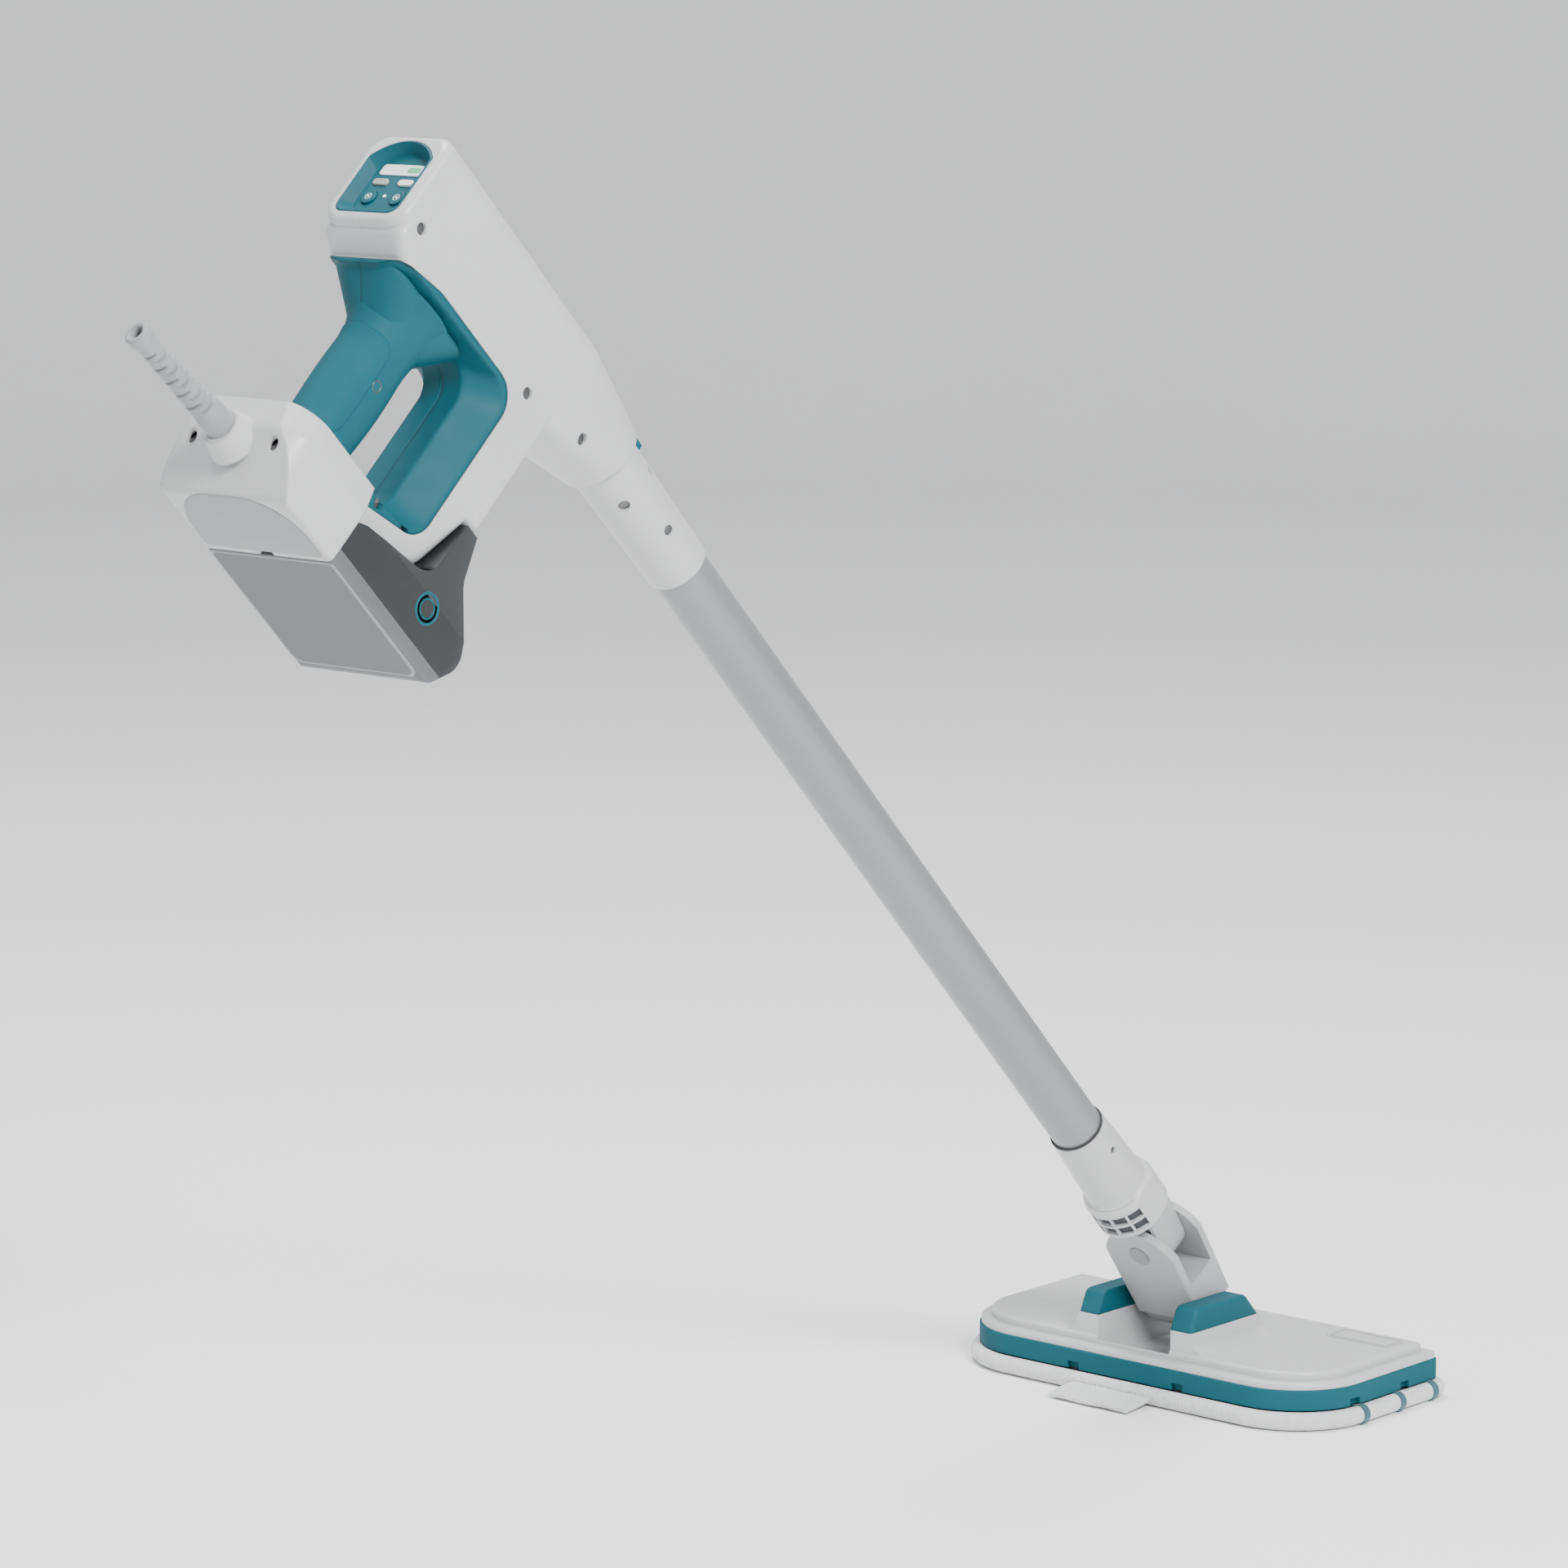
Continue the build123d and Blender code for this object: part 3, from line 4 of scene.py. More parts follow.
import bpy
import numpy as np
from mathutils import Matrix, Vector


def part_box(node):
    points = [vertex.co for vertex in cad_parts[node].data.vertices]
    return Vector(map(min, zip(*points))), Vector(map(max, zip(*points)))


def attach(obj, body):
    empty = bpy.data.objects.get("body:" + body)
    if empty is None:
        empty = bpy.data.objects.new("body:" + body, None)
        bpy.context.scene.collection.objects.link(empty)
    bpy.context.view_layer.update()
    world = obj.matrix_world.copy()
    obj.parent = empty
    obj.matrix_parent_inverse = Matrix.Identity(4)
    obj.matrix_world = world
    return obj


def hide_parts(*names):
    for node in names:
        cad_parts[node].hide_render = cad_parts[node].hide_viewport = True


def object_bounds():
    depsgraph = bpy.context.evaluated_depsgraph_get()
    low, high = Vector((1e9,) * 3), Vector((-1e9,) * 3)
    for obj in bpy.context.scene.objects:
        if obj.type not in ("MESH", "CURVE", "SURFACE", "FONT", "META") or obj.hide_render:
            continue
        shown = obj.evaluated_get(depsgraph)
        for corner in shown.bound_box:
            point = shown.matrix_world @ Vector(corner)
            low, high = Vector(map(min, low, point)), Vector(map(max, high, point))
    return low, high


bl_info = {
    "name": "Steam Mop",
    "version": (1, 0, 0),
    "blender": (4, 5, 0),
    "location": "3D View > Sidebar > Steam Mop",
    "description": "Finishes a steam mop on its packed frame: fabric pad, panel, tank and moulded surfaces",
    "category": "Add Mesh",
}

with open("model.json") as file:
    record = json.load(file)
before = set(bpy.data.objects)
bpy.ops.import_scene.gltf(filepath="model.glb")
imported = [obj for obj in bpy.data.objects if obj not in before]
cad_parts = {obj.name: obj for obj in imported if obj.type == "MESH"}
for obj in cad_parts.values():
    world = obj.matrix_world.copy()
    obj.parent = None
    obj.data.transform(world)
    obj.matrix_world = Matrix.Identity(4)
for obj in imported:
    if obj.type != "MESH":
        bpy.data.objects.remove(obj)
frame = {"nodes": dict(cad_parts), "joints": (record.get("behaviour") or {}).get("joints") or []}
CAD_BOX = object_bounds()
JOINTS = {joint["name"]: joint for joint in frame["joints"]}
MM = 0.001

# The pole's own axes: DOWN runs along the pole to the head, DROP square to it towards the grip.
DOWN = np.array(JOINTS["pole_slide"]["axis"], dtype=float)
DROP = np.array(JOINTS["release_press"]["axis"], dtype=float)
SIDE = np.array((1.0, 0.0, 0.0))
PIVOT = np.array(JOINTS["side_tilt"]["pos_m"], dtype=float)
NOSE = PIVOT - DOWN * 735.3 * MM


def hand(x, v, z):
    """Points of the hand unit, in millimetres: x across, v towards the grip and z up the pole from the nose,
    as NOSE + x*SIDE + v*DROP - z*DOWN."""
    x, v, z = np.broadcast_arrays(x, v, z)
    offset = x[..., None] * SIDE + v[..., None] * DROP - z[..., None] * DOWN
    return NOSE + offset * MM


# ---------------------------------------------------------------- sizes and colours

class MopSizes(bpy.types.PropertyGroup):
    """Sizes that the finished pieces take."""
    pile_depth: bpy.props.FloatProperty(
        name="Pile depth", description="How far the pad's pile stands up and down", default=0.00045,
        min=0.0, max=0.002, unit="LENGTH")
    pad_roll: bpy.props.FloatProperty(
        name="Pad roll", description="Radius of the pad's rolled rim", default=0.0057, min=0.003, max=0.006,
        unit="LENGTH")
    tape_thickness: bpy.props.FloatProperty(
        name="Tape thickness", description="Thickness of the teal tapes over the pad's rim", default=0.0006,
        min=0.0002, max=0.0012, unit="LENGTH")
    cloth_thickness: bpy.props.FloatProperty(
        name="Cloth thickness", description="Thickness of the tab's folded cloth", default=0.0020,
        min=0.0005, max=0.003, unit="LENGTH")


class MopColours(bpy.types.PropertyGroup):
    """Colours that the finishes take."""
    case: bpy.props.FloatVectorProperty(
        name="Case", description="White moulded plastic", default=(0.46, 0.465, 0.47), size=3, min=0.0, max=1.0,
        subtype="COLOR")
    teal: bpy.props.FloatVectorProperty(
        name="Teal", description="Teal plastic and rubber", default=(0.0030, 0.078, 0.104), size=3, min=0.0,
        max=1.0, subtype="COLOR")
    tube: bpy.props.FloatVectorProperty(
        name="Tube", description="Satin coating of the tube", default=(0.23, 0.235, 0.24), size=3, min=0.0,
        max=1.0, subtype="COLOR")
    smoke: bpy.props.FloatVectorProperty(
        name="Smoke", description="Smoked clear plastic of the tank", default=(0.012, 0.014, 0.016), size=3,
        min=0.0, max=1.0, subtype="COLOR")
    frost: bpy.props.FloatVectorProperty(
        name="Frost", description="Frosted end of the tank", default=(0.105, 0.112, 0.120), size=3, min=0.0,
        max=1.0, subtype="COLOR")
    pile: bpy.props.FloatVectorProperty(
        name="Pile", description="Microfibre pile of the pad", default=(0.58, 0.585, 0.595), size=3, min=0.0,
        max=1.0, subtype="COLOR")
    dark: bpy.props.FloatVectorProperty(
        name="Dark", description="Dark grey plastic", default=(0.030, 0.034, 0.040), size=3, min=0.0, max=1.0,
        subtype="COLOR")


# ---------------------------------------------------------------- finishes

class Finish:
    """A material under construction: a Principled shader and helpers that add nodes in front of it."""

    def __init__(self, name, colour, roughness, **inputs):
        self.material = bpy.data.materials.new(name)
        self.material.use_nodes = True
        self.nodes = self.material.node_tree.nodes
        self.links = self.material.node_tree.links
        self.shader = self.nodes["Principled BSDF"]
        self.colour = tuple(colour)
        self.shader.inputs["Base Color"].default_value = (*self.colour, 1.0)
        self.shader.inputs["Roughness"].default_value = roughness
        for key, value in inputs.items():
            self.shader.inputs[key.replace("_", " ")].default_value = value
        self.place = self.nodes.new("ShaderNodeTexCoord").outputs["Object"]
        self.normal = None

    def add(self, kind, **settings):
        """New node of that kind with its settings."""
        node = self.nodes.new(kind)
        for key, value in settings.items():
            setattr(node, key, value)
        return node

    def mapped(self, scale, turn=(0.0, 0.0, 0.0)):
        """Object coordinates turned and scaled per axis."""
        node = self.add("ShaderNodeMapping", vector_type="POINT")
        node.inputs["Rotation"].default_value = turn
        node.inputs["Scale"].default_value = scale
        self.links.new(self.place, node.inputs["Vector"])
        return node.outputs["Vector"]

    def noise(self, scale, detail=3.0, place=None):
        """Noise over the piece."""
        node = self.add("ShaderNodeTexNoise")
        node.inputs["Scale"].default_value = scale
        node.inputs["Detail"].default_value = detail
        self.links.new(place or self.place, node.inputs["Vector"])
        return node.outputs["Fac"]

    def ramp(self, value, low, high, low_colour, high_colour):
        """Value turned into a colour between two stops."""
        node = self.add("ShaderNodeValToRGB")
        stops = node.color_ramp.elements
        stops[0].position, stops[1].position = low, high
        stops[0].color = (*low_colour, 1.0)
        stops[1].color = (*high_colour, 1.0)
        self.links.new(value, node.inputs["Fac"])
        return node.outputs["Color"]

    def tint(self, value, spread, low=0.3, high=0.7):
        """Base colour that drifts by spread with value."""
        darker = [c * (1.0 - spread) for c in self.colour]
        lighter = [min(1.0, c * (1.0 + spread)) for c in self.colour]
        self.links.new(self.ramp(value, low, high, darker, lighter), self.shader.inputs["Base Color"])

    def rough(self, value, low, high):
        """Roughness that runs from low to high with value."""
        node = self.add("ShaderNodeMapRange")
        node.inputs["From Min"].default_value = 0.3
        node.inputs["From Max"].default_value = 0.7
        node.inputs["To Min"].default_value = low
        node.inputs["To Max"].default_value = high
        self.links.new(value, node.inputs["Value"])
        self.links.new(node.outputs["Result"], self.shader.inputs["Roughness"])

    def bump(self, value, strength, distance):
        """Surface relief from value, on top of what is there."""
        node = self.add("ShaderNodeBump")
        node.inputs["Strength"].default_value = strength
        node.inputs["Distance"].default_value = distance
        self.links.new(value, node.inputs["Height"])
        if self.normal:
            self.links.new(self.normal, node.inputs["Normal"])
        self.normal = node.outputs["Normal"]
        self.links.new(self.normal, self.shader.inputs["Normal"])

    def soft_edges(self, radius):
        """Moulded edges that catch the light."""
        node = self.add("ShaderNodeBevel", samples=4)
        node.inputs["Radius"].default_value = radius
        self.normal = node.outputs["Normal"]
        self.links.new(self.normal, self.shader.inputs["Normal"])


def moulded(name, colour, roughness, grain, relief, edge=0.0006, **inputs):
    """Moulded plastic: soft edges, a fine spark-eroded grain, slow drift of colour and of gloss."""
    finish = Finish(name, colour, roughness, **inputs)
    finish.soft_edges(edge)
    finish.bump(finish.noise(grain, 2.0), relief, 0.0002)
    finish.tint(finish.noise(14.0, 4.0), 0.025)
    finish.rough(finish.noise(38.0, 5.0), roughness - 0.05, roughness + 0.06)
    return finish.material


def white_plastic():
    """Satin white casing."""
    colours = bpy.context.scene.mop_colours
    return moulded("white_plastic", colours.case, 0.34, 2600.0, 0.10, Specular_IOR_Level=0.5, Coat_Weight=0.10,
                   Coat_Roughness=0.25)


def white_hood():
    """Satin white of the hood, whose edges are well rounded."""
    colours = bpy.context.scene.mop_colours
    return moulded("white_hood", colours.case, 0.36, 2600.0, 0.10, 0.0022)


def teal_plastic():
    """Matte teal mouldings."""
    return moulded("teal_plastic", bpy.context.scene.mop_colours.teal, 0.55, 1900.0, 0.22,
                   Specular_IOR_Level=0.22)


def teal_liner():
    """Matte teal of the handle's liner, with soft changes of direction."""
    return moulded("teal_liner", bpy.context.scene.mop_colours.teal, 0.60, 1900.0, 0.22, 0.004,
                   Specular_IOR_Level=0.22)


def teal_soft():
    """Soft-touch teal rubber."""
    return moulded("teal_soft", bpy.context.scene.mop_colours.teal, 0.68, 1500.0, 0.30, Specular_IOR_Level=0.20)


def dark_plastic():
    """Dark grey mouldings."""
    return moulded("dark_plastic", bpy.context.scene.mop_colours.dark, 0.48, 2200.0, 0.25)


def grey_plastic(name, shade, roughness):
    """Light or mid grey mouldings."""
    return moulded(name, (shade, shade * 1.01, shade * 1.03), roughness, 2400.0, 0.12)


def coated_tube():
    """Satin metallic coating with a faint drawn grain along the tube."""
    finish = Finish("coated_tube", bpy.context.scene.mop_colours.tube, 0.34, Metallic=0.35)
    turn = (-math.atan2(-DOWN[1], -DOWN[2]), 0.0, 0.0)
    along = finish.mapped((900.0, 900.0, 6.0), (-turn[0], 0.0, 0.0))
    grain = finish.noise(1.0, 3.0, along)
    finish.bump(grain, 0.06, 0.0001)
    finish.rough(grain, 0.30, 0.40)
    finish.tint(finish.noise(9.0, 3.0), 0.02)
    return finish.material


def bare_metal(name, colour, roughness):
    """Turned metal: fine grain and worn patches."""
    finish = Finish(name, colour, roughness, Metallic=1.0)
    finish.soft_edges(0.0003)
    finish.bump(finish.noise(1800.0), 0.2, 0.0001)
    finish.rough(finish.noise(160.0, 6.0), roughness - 0.08, roughness + 0.12)
    return finish.material


def smoked_clear():
    """Smoked clear plastic, glossy, with faint flow marks."""
    finish = Finish("smoked_clear", bpy.context.scene.mop_colours.smoke, 0.08, Alpha=0.90, Coat_Weight=0.6,
                    Coat_Roughness=0.05)
    finish.soft_edges(0.0012)
    finish.bump(finish.noise(45.0, 1.0), 0.03, 0.0003)
    finish.tint(finish.noise(18.0, 3.0), 0.15)
    return finish.material


def frosted_clear():
    """Frosted clear plastic with a fine etched grain."""
    finish = Finish("frosted_clear", bpy.context.scene.mop_colours.frost, 0.46, Alpha=0.90)
    finish.soft_edges(0.0008)
    finish.bump(finish.noise(1400.0, 2.0), 0.25, 0.0002)
    finish.tint(finish.noise(16.0, 3.0), 0.05)
    return finish.material


def pile_cloth():
    """White microfibre: short tufts, hollows between them, a soft sheen and faint uneven colour."""
    finish = Finish("pile_cloth", bpy.context.scene.mop_colours.pile, 0.92, Sheen_Weight=0.5,
                    Sheen_Roughness=0.6)
    tufts = finish.add("ShaderNodeTexVoronoi", feature="F1")
    tufts.inputs["Scale"].default_value = 520.0
    finish.links.new(finish.place, tufts.inputs["Vector"])
    finish.bump(tufts.outputs["Distance"], 0.55, 0.0012)
    finish.bump(finish.noise(2600.0, 4.0), 0.5, 0.0004)
    finish.tint(finish.noise(240.0, 5.0), 0.06)
    return finish.material


def woven_tape():
    """Teal woven tape: crossed ribs of warp and weft."""
    finish = Finish("woven_tape", bpy.context.scene.mop_colours.teal, 0.80, Sheen_Weight=0.25)
    for turn in (0.0, math.pi / 2):
        wave = finish.add("ShaderNodeTexWave", wave_type="BANDS", bands_direction="X")
        wave.inputs["Scale"].default_value = 260.0
        wave.inputs["Distortion"].default_value = 0.3
        finish.links.new(finish.mapped((1.0, 1.0, 1.0), (0.0, 0.0, turn)), wave.inputs["Vector"])
        finish.bump(wave.outputs["Fac"], 0.5, 0.0003)
    finish.tint(finish.noise(700.0, 3.0), 0.18)
    return finish.material


def soft_rubber(name, colour, roughness):
    """Rubber with a dusty, slightly uneven skin."""
    finish = Finish(name, colour, roughness, Sheen_Weight=0.15)
    finish.soft_edges(0.0005)
    finish.bump(finish.noise(1200.0, 4.0), 0.25, 0.0002)
    finish.tint(finish.noise(90.0, 4.0), 0.07)
    return finish.material


def lit_mark(name, colour, strength):
    """Lit part of the panel with a faint grain."""
    finish = Finish(name, colour, 0.25, Emission_Strength=strength)
    finish.shader.inputs["Emission Color"].default_value = (*colour, 1.0)
    finish.tint(finish.noise(900.0, 2.0), 0.06)
    return finish.material


def dress(material, *nodes):
    """Gives a finish to CAD nodes."""
    for node in nodes:
        piece = frame["nodes"][node]
        if not piece.material_slots:
            piece.data.materials.append(material)
        for place in piece.material_slots:
            place.link = "OBJECT"
            place.material = material


# ---------------------------------------------------------------- surfaces

def add_piece(name, points, faces, material, body, smooth=True):
    """New object from an array of points and a list of arrays of faces, riding on a body."""
    mesh = bpy.data.meshes.new(name)
    mesh.from_pydata(points.reshape(-1, 3).tolist(), [], [face for group in faces for face in group.tolist()])
    mesh.update()
    mesh.materials.append(material)
    if smooth:
        mesh.shade_smooth()
    piece = bpy.data.objects.new(name, mesh)
    bpy.context.scene.collection.objects.link(piece)
    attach(piece, body)
    return piece


def grid_faces(rows, columns, wrap_rows, wrap_columns):
    """Quads of a grid of points, as one array; a wrapped direction closes on itself."""
    row = np.arange(rows if wrap_rows else rows - 1)[:, None]
    column = np.arange(columns if wrap_columns else columns - 1)[None, :]
    next_row = (row + 1) % rows
    next_column = (column + 1) % columns
    corners = (row * columns + column, row * columns + next_column, next_row * columns + next_column,
               next_row * columns + column)
    return np.stack(np.broadcast_arrays(*corners), axis=-1).reshape(-1, 4)


def closed_loft(rings):
    """Points and faces of a solid through rings of points, its two ends closed by fans round their middle:
    P(i, j) is point j of ring i, and the middles are the means of the first and last ring."""
    count, size = rings.shape[:2]
    points = np.vstack((rings.reshape(-1, 3), rings[0].mean(axis=0), rings[-1].mean(axis=0)))
    step = np.arange(size)
    after = (step + 1) % size
    first = np.stack((np.full(size, count * size), after, step), axis=-1)
    base = (count - 1) * size
    last = np.stack((np.full(size, count * size + 1), base + step, base + after), axis=-1)
    return points, [grid_faces(count, size, False, True), first, last]


def outward(piece):
    """Turns the faces of a closed piece outwards if its signed volume is negative."""
    mesh = piece.data
    mesh.calc_loop_triangles()
    triangles = np.empty(len(mesh.loop_triangles) * 3, dtype=np.int32)
    mesh.loop_triangles.foreach_get("vertices", triangles)
    places = np.empty(len(mesh.vertices) * 3)
    mesh.vertices.foreach_get("co", places)
    corner = places.reshape(-1, 3)[triangles.reshape(-1, 3)]
    corner = corner - corner.reshape(-1, 3).mean(axis=0)
    volume = np.einsum("ij,ij->i", corner[:, 0], np.cross(corner[:, 1], corner[:, 2])).sum()
    if volume < 0:
        mesh.flip_normals()
    return piece


def rounded_outline(low, high, radii, per_corner, per_side):
    """Closed outline of a rectangle with rounded corners: each corner is an arc of its own radius about a
    centre set in by it, and each side a straight run; radii start at the low-low corner, anticlockwise."""
    corners = np.array(((low[0], low[1]), (high[0], low[1]), (high[0], high[1]), (low[0], high[1])), dtype=float)
    inward = np.array(((1, 1), (-1, 1), (-1, -1), (1, -1)), dtype=float)
    arcs = []
    for index in range(4):
        centre = corners[index] + inward[index] * radii[index]
        angle = math.pi + index * math.pi / 2 + np.linspace(0, math.pi / 2, per_corner)
        arcs.append(centre + radii[index] * np.stack((np.cos(angle), np.sin(angle)), axis=-1))
    parts = []
    for index in range(4):
        start = arcs[index][-1]
        end = arcs[(index + 1) % 4][0]
        share = np.linspace(0, 1, per_side + 2)[1:-1, None]
        parts += [arcs[index], start + (end - start) * share]
    return np.vstack(parts)


def pad_outline(inset):
    """The pad's plan at an inset from its rim."""
    low, high = (np.array(corner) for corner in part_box("mop_pad"))
    front = max(0.057 - inset, 0.004)
    rear = max(0.012 - inset, 0.0015)
    return rounded_outline(low[:2] + inset, high[:2] - inset, (front, front, rear, rear), 22, 46)


def ripple(points, pitch, seed):
    """Smooth uneven height between -1 and 1: the mean of six sine waves of nearby pitch in seeded directions."""
    random = np.random.default_rng(seed)
    angles = random.uniform(0, math.tau, 6)
    phases = random.uniform(0, math.tau, 6)
    scales = random.uniform(0.7, 1.5, 6)
    along = points[..., 0, None] * np.cos(angles) + points[..., 1, None] * np.sin(angles)
    return np.sin(along * math.tau / pitch * scales + phases).mean(axis=-1)


# ---------------------------------------------------------------- operators

class MOP_OT_pad(bpy.types.Operator):
    """Make the microfibre pad"""
    bl_idname = "mop.pad"
    bl_label = "Mop pad"

    def roll(self):
        """Angles round the rolled rim from under it to over it, its half width, and its centre's height."""
        half = bpy.context.scene.mop_sizes.pad_roll
        return np.linspace(-math.pi / 2, math.pi / 2, 21), half, half + 0.0003

    def execute(self, context):
        """Rings of the plan outline, set in and lifted: the sole runs flat to the rim, the rim is an ellipse of
        the roll's half width and half height about a centre set in by the half width, and inside it the top
        dips under the sole plate; all of it stands up and down with the pile's ripple."""
        sizes = context.scene.mop_sizes
        low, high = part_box("mop_pad")
        height = high[2] - low[2]
        turn, half, centre = self.roll()
        inner = np.array((0.066, 0.052, 0.040, 0.030, 0.022, 0.016))
        dip = np.array((0.0118, 0.0130))
        insets = np.concatenate((inner, half * (1 - np.cos(turn)), dip, inner[::-1]))
        lifts = np.concatenate((np.zeros(6), centre + half * np.sin(turn), (height + 0.0004, height),
                                np.full(6, height)))
        rings = np.stack([np.column_stack((pad_outline(inset), np.full(272, lift)))
                          for inset, lift in zip(insets, lifts)])
        wave = ripple(rings, 0.011, 3) * 0.6 + ripple(rings, 0.0047, 8) * 0.6
        middle = np.array((0.0, 0.0, centre))
        away = rings - middle
        away[..., :2] *= 0.2
        away /= np.linalg.norm(away, axis=-1, keepdims=True)
        share = np.clip(1 - insets / 0.014, 0, 1)[:, None, None]
        rings = rings + away * (wave[..., None] - 0.6) * sizes.pile_depth * share
        rings[..., 2] = np.clip(rings[..., 2], low[2], None)
        points, faces = closed_loft(rings)
        piece = outward(add_piece("mop_pad_cloth", points, faces, pile_cloth(), "head"))
        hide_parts("mop_pad")
        return {"FINISHED"}


class MOP_OT_tab(bpy.types.Operator):
    """Make the folded cloth tab in front of the pad"""
    bl_idname = "mop.tab"
    bl_label = "Pad tab"

    def execute(self, context):
        """A folded strip of cloth lying out from the pad: its section, square to the fold, is a stadium of two
        cloth thicknesses, tapered to the pad; it slopes down to the fold and its side edges are a little thinner."""
        low, high = (np.array(corner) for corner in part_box("pad_tab"))
        thick = context.scene.mop_sizes.cloth_thickness
        turn = np.linspace(0, math.tau, 72, endpoint=False)
        reach = high[1] - low[1]
        flat = np.clip(np.cos(turn) * 1.6, -1, 1)
        y = (low[1] + high[1]) / 2 + flat * (reach / 2 - thick) + np.cos(turn) * thick
        across = np.linspace(0, 1, 50)
        edge = np.minimum(across, 1 - across)
        thin = 1 - 0.45 * np.exp(-(edge / 0.012) ** 2)
        rings = np.empty((50, 72, 3))
        rings[..., 0] = low[0] + across[:, None] * (high[0] - low[0])
        rings[..., 1] = y[None, :]
        slope = (y - low[1]) / reach
        droop = low[2] + 0.0016 + 0.0024 * slope
        wave = 0.00025 * np.sin(across * 11.0)[:, None] * (1 - slope)[None, :]
        rings[..., 2] = droop[None, :] + np.sin(turn)[None, :] * thick * thin[:, None] + wave
        rings[..., 2] = np.clip(rings[..., 2], 0.0002, None)
        points, faces = closed_loft(rings)
        piece = outward(add_piece("pad_tab_cloth", points, faces, pile_cloth(), "head"))
        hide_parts("pad_tab")
        return {"FINISHED"}


class MOP_OT_tapes(bpy.types.Operator):
    """Make the teal tapes over the pad's rim"""
    bl_idname = "mop.tapes"
    bl_label = "Pad tapes"

    def execute(self, context):
        """Each tape is a thin flat section carried over the rim's half circle, a tape's thickness outside it,
        with short straight ends that lie on the pad's top and under it."""
        sizes = context.scene.mop_sizes
        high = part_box("mop_pad")[1]
        material = woven_tape()
        turn, half, centre = MOP_OT_pad.roll(self)
        y_low, y_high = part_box("pad_bands")[0][1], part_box("pad_bands")[1][1]
        places = (y_low + 0.0025, y_low + 0.041, y_high - 0.0025)
        for number, place in enumerate(places, start=1):
            grown = half + np.array((-0.0008, sizes.tape_thickness))[:, None]
            x = high[0] - half + np.cos(turn) * grown
            z = centre + np.sin(turn) * grown
            x = np.hstack((x[:, :1] - 0.006, x, x[:, -1:] - 0.005))
            z = np.hstack((z[:, :1], z, z[:, -1:] - 0.001))
            section = np.array((-0.0025, 0.0025))
            ring = np.empty((x.shape[1], 4, 3))
            ring[:, (0, 1), 0] = x[0][:, None]
            ring[:, (2, 3), 0] = x[1][:, None]
            ring[:, (0, 1), 2] = z[0][:, None]
            ring[:, (2, 3), 2] = z[1][:, None]
            ring[:, :, 1] = place + section[[0, 1, 1, 0]]
            ring[..., 2] = np.clip(ring[..., 2], 0.0001, None)
            points, faces = closed_loft(ring)
            piece = outward(add_piece(f"pad_tape_{number}", points, faces, material, "head", False))
            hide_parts("pad_bands")
        return {"FINISHED"}


class MOP_OT_head(bpy.types.Operator):
    """Finish the head and the two-way hinge"""
    bl_idname = "mop.head"
    bl_label = "Head and hinge"

    def execute(self, context):
        dress(white_plastic(), "head_shell", "badge_plate")
        dress(moulded("teal_cap", context.scene.mop_colours.teal, 0.55, 1900.0, 0.22, 0.0022,
                      Specular_IOR_Level=0.22), "saddle_cap_right", "saddle_cap_left")
        dress(teal_soft(), "bumper_ring")
        dress(dark_plastic(), "sole_plate", "hook_strips", "steam_manifold")
        dress(bare_metal("hinge_steel", (0.55, 0.55, 0.56), 0.35), "head_screws", "hinge_pins", "pivot_pin")
        dress(grey_plastic("cap_grey", 0.24, 0.45), "pivot_caps")
        dress(grey_plastic("hinge_grey", 0.36, 0.40), "yoke", "neck_tongue")
        return {"FINISHED"}


class MOP_OT_pole(bpy.types.Operator):
    """Finish the pole"""
    bl_idname = "mop.pole"
    bl_label = "Pole"

    def execute(self, context):
        dress(white_plastic(), "lower_connector", "pole_sleeve")
        dress(coated_tube(), "pole_tube")
        dress(soft_rubber("black_rubber", (0.02, 0.02, 0.022), 0.7), "tube_ring", "spigot_seal")
        dress(soft_rubber("hose_rubber", (0.10, 0.11, 0.12), 0.6), "steam_hose", "pump_pipe", "water_pipe")
        dress(bare_metal("screw_steel", (0.16, 0.16, 0.165), 0.45), "tube_screws", "sleeve_screws", "casing_screws",
              "liner_screws", "hood_screws", "steam_pipe")
        dress(teal_plastic(), "release_button")
        return {"FINISHED"}


class MOP_OT_hand(bpy.types.Operator):
    """Finish the hand unit"""
    bl_idname = "mop.hand"
    bl_label = "Hand unit"

    def execute(self, context):
        dress(white_plastic(), "casing_right", "casing_left")
        dress(white_hood(), "tank_hood")
        dress(dark_plastic(), "nose_spigot", "top_strip", "pump", "filter_cartridge", "filter_foot")
        dress(teal_liner(), "liner_right", "liner_left")
        dress(teal_plastic(), "panel_tray", "round_key_left", "round_key_right", "filter_rings")
        dress(teal_soft(), "grip_inlay")
        dress(bare_metal("boiler_brass", (0.60, 0.44, 0.20), 0.35), "boiler")
        dress(grey_plastic("board_green", 0.10, 0.5), "control_board")
        dress(grey_plastic("key_grey", 0.30, 0.40), "mode_key")
        dress(grey_plastic("key_white", 0.75, 0.32), "power_key")
        dress(grey_plastic("display_cover", 0.80, 0.16), "display_window")
        return {"FINISHED"}


class MOP_OT_tank(bpy.types.Operator):
    """Finish the water tank"""
    bl_idname = "mop.tank"
    bl_label = "Water tank"

    def execute(self, context):
        dress(smoked_clear(), "water_tank")
        dress(frosted_clear(), "tank_end")
        return {"FINISHED"}


